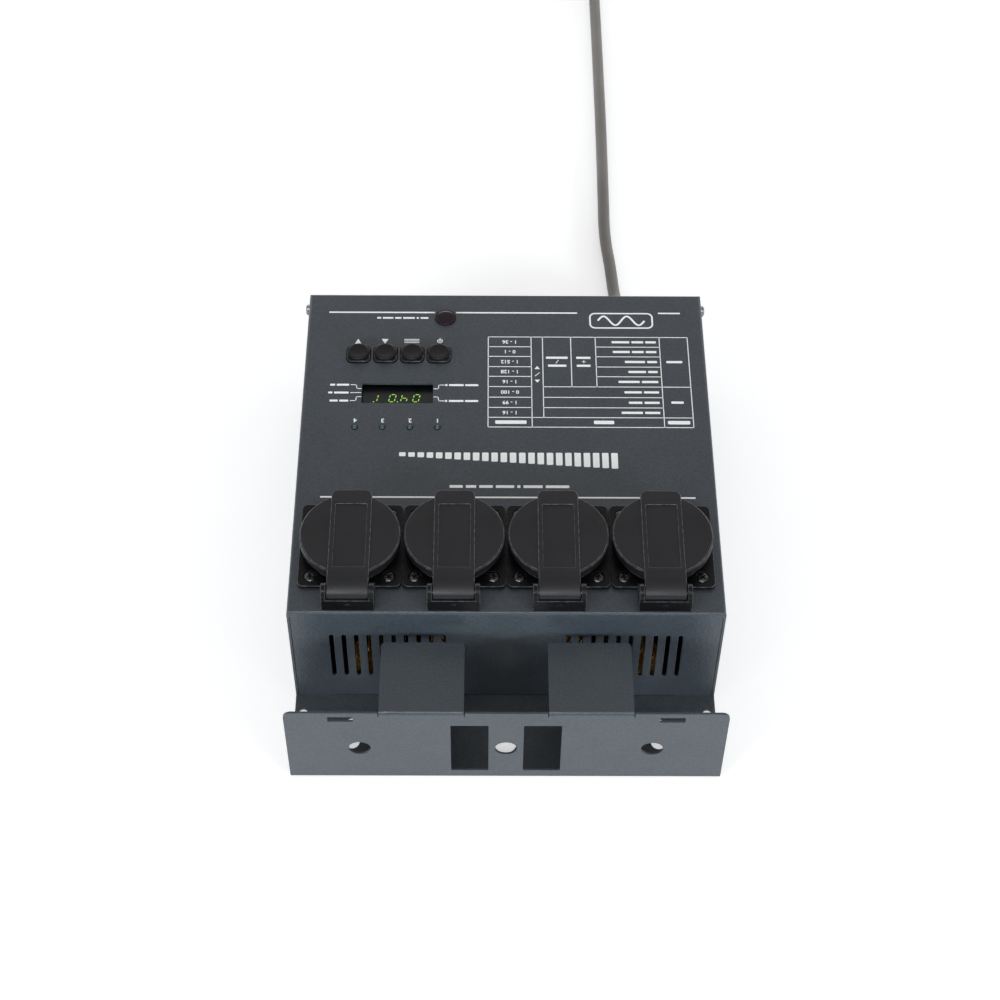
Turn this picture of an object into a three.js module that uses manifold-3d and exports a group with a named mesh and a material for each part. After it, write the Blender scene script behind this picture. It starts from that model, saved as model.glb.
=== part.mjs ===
// Four-channel dimmer pack: a folded steel tray and cover with four mains sockets,
// a control panel, a mounting plate and a mains cord.
// Millimetres, +Z up, +X to the right, +Y away from the mounting plate.
// The origin is on the standing surface, under the middle of the pack without its cord.

import * as THREE from "three";
import { mergeVertices } from "three/addons/utils/BufferGeometryUtils.js";
import Module from "manifold-3d";

const wasm = await Module();
wasm.setup();

// Driving sizes of the pack
const bodyWidth = 210;
const bodyLength = 210;
const bodyHeight = 72;
const plateGap = 47; // front of the mounting plate to the front of the near wall
const plateHeight = 57;
const sheet = 1.2;
const bend = 1.6; // outside radius of every fold
const openingCorner = 0.5; // corners of punched windows
const fit = 0.3; // clearance round whatever passes through or slides
const overrun = 4; // how far a cut runs past what it cuts
const grain = 0.0001; // every corner lies on a multiple of this

// Facets round a full turn
const fineSides = 24;
const roundSides = 16;
const smallSides = 8;
const cornerSteps = 2; // half the steps of a small rounded corner
const roundCornerSteps = 4; // half the steps of a large one

// Cover
const lipHeight = 8;
const footRelief = 0.5;
const footReliefInset = 20;
const seamWidth = 0.3;
const seamRelief = 1.5;
const ventCount = 10;
const ventPitch = 6.03;
const ventWidth = 2.2;
const ventLength = 35;
const ventHeight = 36;
const ventFromSide = 20.43; // outermost vent of each group, from the side

// Side screws
const sideScrewHead = 5.8;
const sideScrewRise = 2;
const sideScrewShank = 3;
const sideScrewLength = 6;
const sideScrewFromEnd = 6.3;
const sideScrewFromTop = 6;

// Tray
const sideFlangeReach = 15;
const sideLipHeight = 8;
const sideLipInset = 8;
const plateCorner = 4;
const plateHole = 10.5;
const plateHoleSpacing = 70;
const plateOpeningsHeight = 26.5; // middle of the holes and windows
const windowWidth = 18;
const windowHeight = 40;
const windowFromMiddle = 17.4;
const plateSlotWidth = 12;
const plateSlotHeight = 3.8;
const plateSlotFromMiddle = 78.2;
const plateSlotFromTop = 5.2;
const tabWidth = 40;
const tabFromMiddle = 40;
const tabReach = 40.5;
const tabCorner = 2.5;
const nickWidth = 1.5;
const nickDepth = 3.5;
const flangeCornerHole = 4.3;
const flangeCornerInset = 4.1;
const flangeCornerFromWall = 10.5;
const flangeMiddleHole = 11;
const flangeMiddleFromWall = 28.3;
const flangeSlotWidth = 7.5;
const flangeSlotLength = 18;
const flangeSlotFromMiddle = 75.8;
const flangeSlotFromWall = 22.5;

// Mains sockets
const socketCount = 4;
const socketGap = 0.4; // between two flanges
const socketFromSide = 4.4; // side of the pack to the outermost flange
const socketFromEdge = 14; // near wall to the flanges
const socketFlange = 2.2;
const socketCorner = 3;
const collarInset = 3; // flange's edge to the collar
const collarRise = 9.9;
const cupInset = 0.5; // collar's side to the cup's
const cupWall = 1.75;
const wellDepth = 17.5;
const cupDepth = 32;
const contactHole = 5.2;
const contactSpacing = 19;
const contactDepth = 16;
const screwInset = 6; // flange's edge to the screws' middles
const screwHead = 5.6;
const screwShank = 3;
const screwLength = 6; // below the top of the panel
const screwCrown = 0.2;
const screwChamfer = 0.6;
const counterbore = 6.4;
const counterboreDepth = 1.3;

// Lids and their hinges
const hingeOverhang = 7.8; // flange's near edge to the pin
const hingeRise = 8; // pin above the panel
const barrelDiameter = 7;
const earRadius = 4.8;
const earThickness = 2.4;
const tongueThickness = 2.5;
const frontWall = 1;
const frontWallDrop = 0.3; // top of the front wall below the pin
const pinDiameter = 2;
const lidInset = 0.5; // flange's edge to the lid's rim
const lidSkirt = 1.5;
const lidPlate = 1.5;
const lidChamfer = 1;
const lidSkirtDrop = 3.4; // skirt below the underside of the lid's plate
const strapWidth = 19.9;
const strapStep = 0.7; // strap above the lid
const strapOverhang = 1.8; // strap past the lid's far rim
const strapCorner = 3.5;
const strapRun = 2.5; // slope from the barrel ends this far inside the rim
const insetWidth = 15.3;
const insetDepth = 0.5;
const insetNearMargin = 1.5; // lid's near rim to the inset
const insetFarMargin = 6.9; // inset to the lid's far rim

// Control panel
const columnCount = 4;
const columnPitch = 14.05;
const firstColumnFromSide = 27.9; // left side of the pack to the first button
const buttonFromFar = 43.7; // far edge of the pack to the buttons
const buttonSide = 12.3;
const buttonCorner = 3;
const buttonSkirtRise = 1;
const buttonSkirtDepth = 3.2;
const buttonCapFoot = 11.8;
const buttonCapTop = 10.2;
const buttonRise = 2.6;
const buttonDish = 0.4;
const buttonDishRim = 0.5;
const buttonStem = 6.4;
const buttonTravel = 0.8;
const ledFromFar = 94.1;
const ledDiameter = 3;
const ledCollar = 3.8;
const ledRise = 0.9;
const windowFrameWidth = 36.8;
const windowFrameHeight = 13.5;
const displayFromFar = 70.95;
const displayDepth = 4; // panel's top to the display's face
const displayBorder = 1.3;
const sensorFromFar = 17.5;
const sensorFromSide = 73.1;
const sensorFlange = 11.3;
const sensorFlangeRise = 0.9;
const sensorBody = 9.4;
const sensorDepth = 9;
const sensorNut = 13;
const sensorNutHeight = 2;
const sensorCrown = 0.5;

// Control board
const boardThickness = 1.6;
const controlDrop = 11.5; // panel's top to the board's top
const controlBoardMargin = 9; // past the outer columns
const controlBoardNear = 8; // past the LEDs
const controlBoardFar = 13; // past the buttons
const switchSide = 11.4;
const switchHeight = 4;
const switchFloor = 0.6;
const pillarDiameter = 6;
const pillarInset = 3.5;

// Power board, heat sink and chokes
const powerBoardFromSide = 19;
const powerBoardFromSink = 8;
const powerBoardFromFar = 32;
const powerBoardLift = 6.8;
const powerPillarInset = 6;
const transformerSize = [44, 36, 28];
const relaySize = [20, 10, 15];
const relayCount = 4;
const relayPitch = 26;
const terminalSize = [70, 12, 14];
const capacitorDiameter = 12;
const capacitorHeight = 20;
const capacitorCount = 3;
const capacitorPitch = 16;
const sinkFromSide = 21;
const sinkLength = 26;
const sinkHeight = 30;
const sinkFromCups = 9.5;
const sinkPlate = 4;
const finThickness = 2;
const finCount = 5;
const chokeDiameter = 36;
const chokeBore = 16;
const chokeThickness = 12;
const chokeRound = 3;
const chokeFromWall = 3.5;
const chokeOuterFromMiddle = 58.5;
const chokeInnerFromMiddle = 24;
const chokeOuterLift = 0.5;
const chokeInnerLift = 12;
const chokeFootWidth = 14;
const chokeFootBite = 3; // foot into the choke

// Connectors of the far wall
const signalShares = [-0.7524, -0.4286]; // middles across the wall, as shares of half the width
const controlSocketShare = -0.136;
const fuseShares = [0.1333, 0.3429, 0.5524, 0.7619];
const signalFromTop = 34; // top of the pack to the connectors' middles
const signalWidth = 26;
const signalTall = 31;
const signalFlange = 2;
const signalCorner = 2;
const signalBody = 23.6;
const signalInside = 20;
const signalWell = 19;
const signalWellDepth = 14;
const signalPin = 2.4;
const signalPinCircle = 10;
const signalPinLength = 10;
const signalContactHole = 3;
const signalContactDepth = 8;
const controlSocketWidth = 24;
const controlSocketTall = 20;
const controlSocketBody = 15.6;
const controlSocketInside = 12;
const controlSocketWell = 12.5;
const controlSocketWellDepth = 5;
const controlSocketKeeper = 8;
const fuseFromTop = 22;
const fuseCap = 15;
const fuseCapRise = 9;
const fuseCapChamfer = 1;
const fuseFlange = 18;
const fuseFlangeThickness = 1.5;
const fuseBody = 12.6;
const fuseInside = 26;
const glandFromMiddle = 68;
const glandHeight = 22;
const glandNut = 19;
const glandNutThickness = 5;
const glandThread = 12;
const glandThreadLength = 9;
const glandLockNut = 18;
const glandLockNutThickness = 4;
const glandDome = 16;
const glandMouth = 11;
const glandReach = 20.5;
const glandDomeShare = 0.6; // of the reach, where the dome starts to close

// Mains cord and plug
const cordDiameter = 7;
const cordLift = 0.1; // over the standing surface
const cordSides = 8;
const cordStepDiameters = 2.5;
const coilTurns = 4.25;
const coilInnerRadius = 31;
const coilPitch = 7.9;
const coilLayerStep = 7.6;
const coilStepsPerTurn = 24;
const coilSides = 6;
const coilMiddleY = 529;
const coilTailRun = 48; // from the last turn to the plug's height
const plugDiameter = 38;
const plugLift = 0.2;
const plugFace = 8;
const plugBody = 36;
const plugGrip = 27;
const plugNeck = 12;
const plugNeckLength = 16;
const plugPin = 4.8;
const plugPinLength = 19;

// The free stretch of the cord, from the gland to the coil, in the pack's own frame
const cordRoute = [
  [68.0, 138.3, 22.0],
  [67.9, 145.5, 22.0],
  [67.5, 153.0, 20.2],
  [66.8, 161.5, 14.4],
  [65.9, 170.0, 8.0],
  [65.0, 178.5, 4.5],
  [64.1, 186.5, 3.7],
  [62.6, 208.0, 3.6],
  [60.8, 227.0, 3.6],
  [60.2, 243.0, 3.6],
  [60.4, 262.0, 3.6],
  [60.9, 330.0, 3.6],
  [60.8, 400.0, 3.6],
  [60.5, 470.0, 3.6],
  [60.5, 514.7, 3.6],
  [60.5, 521.7, 3.6],
];

// Places worked out from the sizes above
const halfWidth = bodyWidth / 2;
const wallInside = halfWidth - sheet;
const farWallOuter = bodyLength - sheet - fit;
const farWallInner = farWallOuter - sheet;
const trayHalf = wallInside - fit;
const panelUnder = bodyHeight - sheet;
const plateFront = -plateGap;
const packFarEnd = farWallOuter + glandReach;
const packMiddle = (plateFront + packFarEnd) / 2;
const socketRoom = bodyWidth - 2 * socketFromSide;
const socketSide = (socketRoom - (socketCount - 1) * socketGap) / socketCount;
const socketPitch = socketSide + socketGap;
const socketRow = socketFromEdge + socketSide / 2;
const collarDiameter = socketSide - 2 * collarInset;
const cupDiameter = collarDiameter - 2 * cupInset;
const wellDiameter = cupDiameter - 2 * cupWall;
const screwReach = socketSide / 2 - screwInset;
const hingeReach = socketSide / 2 + hingeOverhang;
const lidDiameter = socketSide - 2 * lidInset;
const lidUnder = collarRise + fit;
const lidTop = lidUnder + lidPlate;
const skirtBottom = lidUnder - lidSkirtDrop;
const strapTop = lidTop + strapStep;
const strapEnd = lidDiameter / 2 + strapOverhang;
const earInner = strapWidth / 2 + fit;
const earOuter = earInner + earThickness;
const pinY = -hingeReach;
const buttonRow = bodyLength - buttonFromFar;
const ledRow = bodyLength - ledFromFar;
const displayRow = bodyLength - displayFromFar;
const sinkNear = socketRow + cupDiameter / 2 + sinkFromCups;
const sinkFar = sinkNear + sinkLength;
const powerBoardFar = bodyLength - powerBoardFromFar;
const powerBoardNear = sinkFar + powerBoardFromSink;
const signalHeight = bodyHeight - signalFromTop;
const fuseHeight = bodyHeight - fuseFromTop;
const controlBoardTop = bodyHeight - controlDrop;
const cordRadius = cordDiameter / 2;
const coilRadius = coilInnerRadius + (coilPitch * coilTurns) / 2;
const plugAxis = plugDiameter / 2 + plugLift;
const screwPlaces = [
  [-screwReach, -screwReach],
  [screwReach, -screwReach],
  [-screwReach, screwReach],
  [screwReach, screwReach],
];

// Materials
function material(color, roughness, metalness) {
  return new THREE.MeshStandardMaterial({ color, roughness, metalness });
}
const greyPaint = material("#484c51", 0.45, 0.3);
const blackPlastic = material("#1d1d20", 0.5, 0);
const lidPlastic = material("#313035", 0.55, 0);
const blackScrew = material("#141416", 0.4, 0.6);
const brightSteel = material("#b9bcc0", 0.3, 1);
const buttonPlastic = material("#2b2b2d", 0.5, 0);
const greenLamp = material("#1d3a24", 0.25, 0);
const lensPlastic = material("#2f2830", 0.15, 0);
const displayPlastic = material("#0c0d0d", 0.3, 0);
const boardGreen = material("#1f5b3a", 0.6, 0);
const aluminium = material("#9a9da1", 0.45, 0.9);
const copperWire = material("#b9862e", 0.35, 0.6);
const nickel = material("#8e9196", 0.35, 0.9);
const cordRubber = material("#4a4b4e", 0.6, 0);

// Solids from three.js geometry

// A closed geometry as a solid that can be joined and cut. Its corners are rounded to the
// grain, so that faces meant to lie in one plane do.
function solid(geometry) {
  geometry.deleteAttribute("normal");
  geometry.deleteAttribute("uv");
  const places = geometry.attributes.position.array;
  places.forEach((value, i) => {
    places[i] = Math.round(value / grain) * grain;
  });
  const merged = mergeVertices(geometry);
  return new wasm.Manifold(
    new wasm.Mesh({
      numProp: 3,
      vertProperties: merged.attributes.position.array,
      triVerts: new Uint32Array(merged.index.array),
    }),
  );
}

// A solid as a geometry with flat faces.
function geometryOf(body) {
  const data = body.getMesh();
  const geometry = new THREE.BufferGeometry();
  geometry.setAttribute("position", new THREE.BufferAttribute(data.vertProperties, 3));
  geometry.setIndex(new THREE.BufferAttribute(data.triVerts, 1));
  const flat = geometry.toNonIndexed();
  flat.computeVertexNormals();
  return flat;
}

function join(...bodies) {
  return bodies.reduce((whole, body) => whole.add(body));
}

function cut(whole, ...tools) {
  return tools.reduce((rest, tool) => rest.subtract(tool), whole);
}

// A box from its limits along X, Y and Z.
function block([x0, x1], [y0, y1], [z0, z1]) {
  const box = new THREE.BoxGeometry(x1 - x0, y1 - y0, z1 - z0);
  box.translate((x0 + x1) / 2, (y0 + y1) / 2, (z0 + z1) / 2);
  return solid(box);
}

// A round rod along one axis, between two places on it, round a middle given as [x, y, z].
const turns = {
  x: (geometry) => geometry.rotateZ(-Math.PI / 2),
  y: (geometry) => geometry,
  z: (geometry) => geometry.rotateX(Math.PI / 2),
};
function rod(axis, diameter, from, to, middle, sides) {
  const rodGeometry = new THREE.CylinderGeometry(diameter / 2, diameter / 2, to - from, sides);
  turns[axis](rodGeometry);
  const place = new THREE.Vector3(...middle);
  place[axis] = (from + to) / 2;
  rodGeometry.translate(place.x, place.y, place.z);
  return solid(rodGeometry);
}

// A flat outline pushed along an axis from one place to another.
// Along x the outline is drawn in (y, z), along y in (x, z), along z in (x, y).
const bases = {
  x: new THREE.Matrix4().makeBasis(
    new THREE.Vector3(0, 1, 0),
    new THREE.Vector3(0, 0, 1),
    new THREE.Vector3(1, 0, 0),
  ),
  y: new THREE.Matrix4().makeBasis(
    new THREE.Vector3(1, 0, 0),
    new THREE.Vector3(0, 0, 1),
    new THREE.Vector3(0, -1, 0),
  ),
  z: new THREE.Matrix4(),
};
function prism(shape, axis, from, to, curveSegments = cornerSteps) {
  const pushed = new THREE.ExtrudeGeometry(shape, {
    depth: to - from,
    bevelEnabled: false,
    curveSegments,
  });
  pushed.applyMatrix4(bases[axis]);
  const start = axis === "y" ? to : from;
  const shift = new THREE.Vector3();
  shift[axis] = start;
  pushed.translate(shift.x, shift.y, shift.z);
  return solid(pushed);
}

// A profile of [radius, height] points turned about an axis through a middle.
// Heights run from the middle along the axis, or against it where the direction is -1.
function turned(profile, axis, middle, sides, direction = 1) {
  const points = profile.map(([radius, height]) => new THREE.Vector2(radius, height));
  const lathe = new THREE.LatheGeometry(points, sides);
  if (direction < 0) lathe.rotateX(Math.PI);
  turns[axis](lathe);
  lathe.translate(...middle);
  const body = solid(lathe);
  if (body.volume() < 0) throw new Error("a turned profile runs the wrong way round");
  return body;
}

// Outlines

function rectangle(x0, x1, y0, y1, corner) {
  const shape = new THREE.Shape();
  shape.moveTo(x0 + corner, y0);
  shape.lineTo(x1 - corner, y0);
  shape.absarc(x1 - corner, y0 + corner, corner, -Math.PI / 2, 0, false);
  shape.lineTo(x1, y1 - corner);
  shape.absarc(x1 - corner, y1 - corner, corner, 0, Math.PI / 2, false);
  shape.lineTo(x0 + corner, y1);
  shape.absarc(x0 + corner, y1 - corner, corner, Math.PI / 2, Math.PI, false);
  shape.lineTo(x0, y0 + corner);
  shape.absarc(x0 + corner, y0 + corner, corner, Math.PI, 1.5 * Math.PI, false);
  return shape;
}

function centredRectangle(x, y, width, height, corner) {
  return rectangle(x - width / 2, x + width / 2, y - height / 2, y + height / 2, corner);
}

// A rectangle whose two far corners are rounded.
function roundTopped(x0, x1, y0, y1, corner) {
  const shape = new THREE.Shape();
  shape.moveTo(x0, y0);
  shape.lineTo(x1, y0);
  shape.lineTo(x1, y1 - corner);
  shape.absarc(x1 - corner, y1 - corner, corner, 0, Math.PI / 2, false);
  shape.lineTo(x0 + corner, y1);
  shape.absarc(x0 + corner, y1 - corner, corner, Math.PI / 2, Math.PI, false);
  shape.lineTo(x0, y0);
  return shape;
}

// A slot with round ends, long along the outline's second direction.
function slot(x, y, width, length) {
  const radius = width / 2;
  const reach = length / 2 - radius;
  const shape = new THREE.Shape();
  shape.moveTo(x + radius, y - reach);
  shape.lineTo(x + radius, y + reach);
  shape.absarc(x, y + reach, radius, 0, Math.PI, false);
  shape.lineTo(x - radius, y - reach);
  shape.absarc(x, y - reach, radius, Math.PI, 2 * Math.PI, false);
  return shape;
}

function polygon(points) {
  return new THREE.Shape(points.map(([x, y]) => new THREE.Vector2(x, y)));
}

// What a rounded corner leaves over, at a corner (x, y) that points along the signs.
function cornerWaste(x, y, signX, radius) {
  const shape = new THREE.Shape();
  const centre = [x - signX * radius, y - radius];
  const from = signX > 0 ? 0 : Math.PI;
  shape.moveTo(x, y - radius);
  shape.absarc(centre[0], centre[1], radius, from, Math.PI / 2, signX < 0);
  shape.lineTo(x - signX * radius, y + overrun);
  shape.lineTo(x + signX * overrun, y + overrun);
  shape.lineTo(x + signX * overrun, y - radius);
  shape.lineTo(x, y - radius);
  return shape;
}

// Meshes and groups

function part(name, body, finish) {
  const mesh = new THREE.Mesh(geometryOf(body), finish);
  mesh.name = name;
  return mesh;
}

const sideSigns = [-1, 1];

// The span from near to far on the right of the middle, or on its left where the sign is -1.
function mirrored(sign, near, far) {
  return sign > 0 ? [near, far] : [-far, -near];
}

// Places that several pieces share

const sideScrewY = bodyLength - sideScrewFromEnd;
const sideScrewZ = bodyHeight - sideScrewFromTop;
const columns = Array.from(
  { length: columnCount },
  (_, i) => -halfWidth + firstColumnFromSide + i * columnPitch,
);
const columnsMiddle = (columns[0] + columns[columnCount - 1]) / 2;
const sockets = Array.from(
  { length: socketCount },
  (_, i) => (i - (socketCount - 1) / 2) * socketPitch,
);
const sensorX = -halfWidth + sensorFromSide;
const sensorY = bodyLength - sensorFromFar;
const [signalInX, signalOutX] = signalShares.map((share) => share * halfWidth);
const controlSocketX = controlSocketShare * halfWidth;
const fuses = fuseShares.map((share) => share * halfWidth);

// Tray: bottom, mounting flange, mounting plate with tabs, and far wall

// The folded strip seen from the side, from the plate's top to the far wall's top.
function trayProfile() {
  const inner = bend - sheet;
  const farTop = panelUnder - fit;
  const shape = new THREE.Shape();
  shape.moveTo(plateFront, plateHeight);
  shape.lineTo(plateFront, bend);
  shape.absarc(plateFront + bend, bend, bend, Math.PI, 1.5 * Math.PI, false);
  shape.lineTo(farWallOuter - bend, 0);
  shape.absarc(farWallOuter - bend, bend, bend, 1.5 * Math.PI, 2 * Math.PI, false);
  shape.lineTo(farWallOuter, farTop);
  shape.lineTo(farWallInner, farTop);
  shape.lineTo(farWallInner, bend);
  shape.absarc(farWallOuter - bend, bend, inner, 2 * Math.PI, 1.5 * Math.PI, true);
  shape.lineTo(plateFront + bend, sheet);
  shape.absarc(plateFront + bend, bend, inner, 1.5 * Math.PI, Math.PI, true);
  shape.lineTo(plateFront + sheet, plateHeight);
  shape.lineTo(plateFront, plateHeight);
  return shape;
}

// A tab folded back from the plate's top edge, seen from the side.
function tabProfile() {
  const root = plateHeight - bend - nickDepth;
  const inner = bend - sheet;
  const tip = plateFront + tabReach;
  const shape = new THREE.Shape();
  shape.moveTo(plateFront, root);
  shape.lineTo(plateFront + sheet, root);
  shape.lineTo(plateFront + sheet, plateHeight - bend);
  shape.absarc(plateFront + bend, plateHeight - bend, inner, Math.PI, Math.PI / 2, true);
  shape.lineTo(tip, plateHeight - sheet);
  shape.lineTo(tip, plateHeight);
  shape.lineTo(plateFront + bend, plateHeight);
  shape.absarc(plateFront + bend, plateHeight - bend, bend, Math.PI / 2, Math.PI, false);
  shape.lineTo(plateFront, root);
  return shape;
}

function tray() {
  const throughPlate = [plateFront - overrun, plateFront + sheet + overrun];
  const throughBottom = [-overrun, sheet + overrun];
  const throughWall = [farWallInner - overrun, farWallOuter + overrun];
  const wallHole = (diameter, x, z) =>
    rod("y", diameter + 2 * fit, ...throughWall, [x, 0, z], roundSides);
  const plateOpening = (x, z, width, height) =>
    prism(centredRectangle(x, z, width, height, openingCorner), "y", ...throughPlate);
  const cuts = [
    rod("y", plateHole, ...throughPlate, [0, 0, plateOpeningsHeight], roundSides),
    rod("z", flangeMiddleHole, ...throughBottom, [0, -flangeMiddleFromWall, 0], roundSides),
    wallHole(signalBody, signalInX, signalHeight),
    wallHole(signalBody, signalOutX, signalHeight),
    wallHole(controlSocketBody, controlSocketX, signalHeight),
    wallHole(glandThread, glandFromMiddle, glandHeight),
    ...fuses.map((x) => wallHole(fuseBody, x, fuseHeight)),
  ];
  const folds = [];
  for (const sign of sideSigns) {
    // Notch at the far corner, where the far wall stands inside the cover's sides
    const beside = mirrored(sign, trayHalf, halfWidth + overrun);
    cuts.push(block(beside, [farWallOuter - bend, farWallOuter + overrun], [-overrun, bodyHeight]));
    // Mounting plate
    const roundHole = [sign * plateHoleSpacing, 0, plateOpeningsHeight];
    const cornerHole = [sign * (halfWidth - flangeCornerInset), -flangeCornerFromWall, 0];
    const fixingSlot = slot(
      sign * flangeSlotFromMiddle,
      -flangeSlotFromWall,
      flangeSlotWidth,
      flangeSlotLength,
    );
    const slotHeight = plateHeight - plateSlotFromTop;
    cuts.push(
      prism(cornerWaste(sign * halfWidth, plateHeight, sign, plateCorner), "y", ...throughPlate),
      plateOpening(sign * windowFromMiddle, plateOpeningsHeight, windowWidth, windowHeight),
      plateOpening(sign * plateSlotFromMiddle, slotHeight, plateSlotWidth, plateSlotHeight),
      rod("y", plateHole, ...throughPlate, roundHole, roundSides),
      rod("z", flangeCornerHole, ...throughBottom, cornerHole, smallSides),
      prism(fixingSlot, "z", ...throughBottom, roundCornerSteps),
    );
    // Tab with a nick at each end of its fold
    const tabSpan = mirrored(sign, tabFromMiddle - tabWidth / 2, tabFromMiddle + tabWidth / 2);
    const tip = plateFront + tabReach;
    const plan = roundTopped(...tabSpan, plateFront - overrun, tip, tabCorner);
    const top = plateHeight + overrun;
    cuts.push(
      block(tabSpan, throughPlate, [plateHeight - bend, top]),
      block([tabSpan[0] - nickWidth, tabSpan[0]], throughPlate, [plateHeight - nickDepth, top]),
      block([tabSpan[1], tabSpan[1] + nickWidth], throughPlate, [plateHeight - nickDepth, top]),
    );
    folds.push(prism(tabProfile(), "x", ...tabSpan).intersect(prism(plan, "z", 0, top)));
    // Flange that takes the side screw, and a low lip along the bottom
    const upright = mirrored(sign, trayHalf - sheet, trayHalf);
    const flangeStart = farWallOuter - sideFlangeReach;
    const screwHole = mirrored(sign, trayHalf - sheet - overrun, trayHalf + overrun);
    folds.push(
      cut(
        block(upright, [flangeStart, farWallOuter], [bend, panelUnder - fit]),
        rod("x", sideScrewShank + 2 * fit, ...screwHole, [0, sideScrewY, sideScrewZ], smallSides),
      ),
      block(upright, [sideLipInset, flangeStart - sideLipInset], [0, sheet + sideLipHeight]),
    );
  }
  return join(cut(prism(trayProfile(), "x", -halfWidth, halfWidth), ...cuts), ...folds);
}

// Cover: control panel, near wall, side walls and a short lip over the far wall

// The cover's block with rounded folds, drawn in on every side but the bottom.
function coverBlock(inset, bottom) {
  const corner = bend - inset;
  const top = bodyHeight - inset;
  const length = [inset, bodyLength - inset];
  const width = [-halfWidth + inset, halfWidth - inset];
  const alongX = prism(roundTopped(...length, bottom, top, corner), "x", ...width);
  const alongY = prism(roundTopped(...width, bottom, top, corner), "y", ...length);
  return alongX.intersect(alongY);
}

function panelCuts() {
  const through = [panelUnder - overrun, bodyHeight + overrun];
  const hole = (diameter, x, y, sides) =>
    rod("z", diameter + 2 * fit, ...through, [x, y, 0], sides);
  const buttonHole = buttonSide + 2 * fit;
  const displayWindow = centredRectangle(
    columnsMiddle,
    displayRow,
    windowFrameWidth,
    windowFrameHeight,
    openingCorner,
  );
  const cuts = [
    hole(sensorBody, sensorX, sensorY, roundSides),
    prism(displayWindow, "z", ...through),
  ];
  for (const x of columns) {
    const square = centredRectangle(x, buttonRow, buttonHole, buttonHole, buttonCorner + fit);
    cuts.push(prism(square, "z", ...through), hole(ledDiameter, x, ledRow, smallSides));
  }
  for (const x of sockets) {
    cuts.push(hole(cupDiameter, x, socketRow, fineSides));
    for (const [screwX, screwY] of screwPlaces)
      cuts.push(hole(screwShank, x + screwX, socketRow + screwY, smallSides));
  }
  return cuts;
}

function cover() {
  const throughWall = [-overrun, sheet + overrun];
  const cuts = [
    coverBlock(sheet, -overrun),
    block(
      [-wallInside, wallInside],
      [bodyLength - sheet - overrun, bodyLength + overrun],
      [-overrun, bodyHeight - lipHeight],
    ),
    block(
      [-halfWidth + footReliefInset, halfWidth - footReliefInset],
      throughWall,
      [0, sheet + footRelief],
    ),
    ...panelCuts(),
  ];
  for (const sign of sideSigns) {
    const seam = mirrored(sign, wallInside - seamWidth, wallInside);
    const seamTop = bodyHeight - bend;
    const reliefMiddle = [sign * (wallInside - seamWidth / 2), 0, seamTop];
    const side = mirrored(sign, wallInside - overrun, halfWidth + overrun);
    cuts.push(
      block(seam, throughWall, [0, seamTop]),
      rod("y", seamRelief, ...throughWall, reliefMiddle, smallSides),
      rod("x", sideScrewShank + 2 * fit, ...side, [0, sideScrewY, sideScrewZ], smallSides),
    );
    for (let i = 0; i < ventCount; i++) {
      const ventX = sign * (halfWidth - ventFromSide - i * ventPitch);
      const vent = slot(ventX, ventHeight, ventWidth, ventLength);
      cuts.push(prism(vent, "y", ...throughWall));
    }
  }
  return cut(coverBlock(0, sheet), ...cuts);
}

// Pan-headed screw along +X or -X at the far end of a side wall
function sideScrew(sign) {
  const radius = sideScrewHead / 2;
  const profile = [
    [0, -sideScrewLength],
    [sideScrewShank / 2, -sideScrewLength],
    [sideScrewShank / 2, 0],
    [radius, 0],
    [radius, sideScrewRise / 2],
    [radius / 2, sideScrewRise],
    [0, sideScrewRise],
  ];
  return turned(profile, "x", [sign * halfWidth, sideScrewY, sideScrewZ], smallSides, sign);
}

// Mains sockets, each in its own frame: origin on the panel at the socket's axis, hinge towards -Y

// One ear of the hinge, seen from the side.
function earShape() {
  const shape = new THREE.Shape();
  shape.moveTo(pinY + earRadius, 0);
  shape.lineTo(pinY + earRadius, hingeRise);
  shape.absarc(pinY, hingeRise, earRadius, 0, Math.PI, false);
  shape.lineTo(pinY - earRadius, 0);
  shape.lineTo(pinY + earRadius, 0);
  return shape;
}

function socketBody() {
  const earFront = pinY - earRadius;
  const flangeEdge = -socketSide / 2;
  const wellFloor = collarRise - wellDepth;
  const body = join(
    prism(centredRectangle(0, 0, socketSide, socketSide, socketCorner), "z", 0, socketFlange),
    rod("z", collarDiameter, 0, collarRise, [0, 0, 0], fineSides),
    rod("z", cupDiameter, -cupDepth, socketFlange, [0, 0, 0], fineSides),
    block([-earOuter, earOuter], [earFront, flangeEdge + tongueThickness], [0, tongueThickness]),
    block(
      [-earOuter, earOuter],
      [earFront, earFront + frontWall],
      [0, hingeRise - frontWallDrop],
    ),
    ...sideSigns.map((sign) =>
      prism(earShape(), "x", ...mirrored(sign, earInner, earOuter), roundCornerSteps),
    ),
  );
  const pinBore = pinDiameter + 2 * fit;
  const cuts = [
    rod("z", wellDiameter, wellFloor, collarRise + overrun, [0, 0, 0], fineSides),
    rod("x", pinBore, -earOuter - overrun, earOuter + overrun, [0, pinY, hingeRise], smallSides),
    ...sideSigns.map((sign) =>
      rod(
        "z",
        contactHole,
        wellFloor - contactDepth,
        wellFloor + overrun,
        [(sign * contactSpacing) / 2, 0, 0],
        smallSides,
      ),
    ),
  ];
  for (const [x, y] of screwPlaces) {
    const seat = socketFlange - counterboreDepth;
    cuts.push(
      rod("z", counterbore, seat, socketFlange + overrun, [x, y, 0], smallSides),
      rod("z", screwShank + 2 * fit, -overrun, socketFlange, [x, y, 0], smallSides),
    );
  }
  return cut(body, ...cuts);
}

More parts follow.
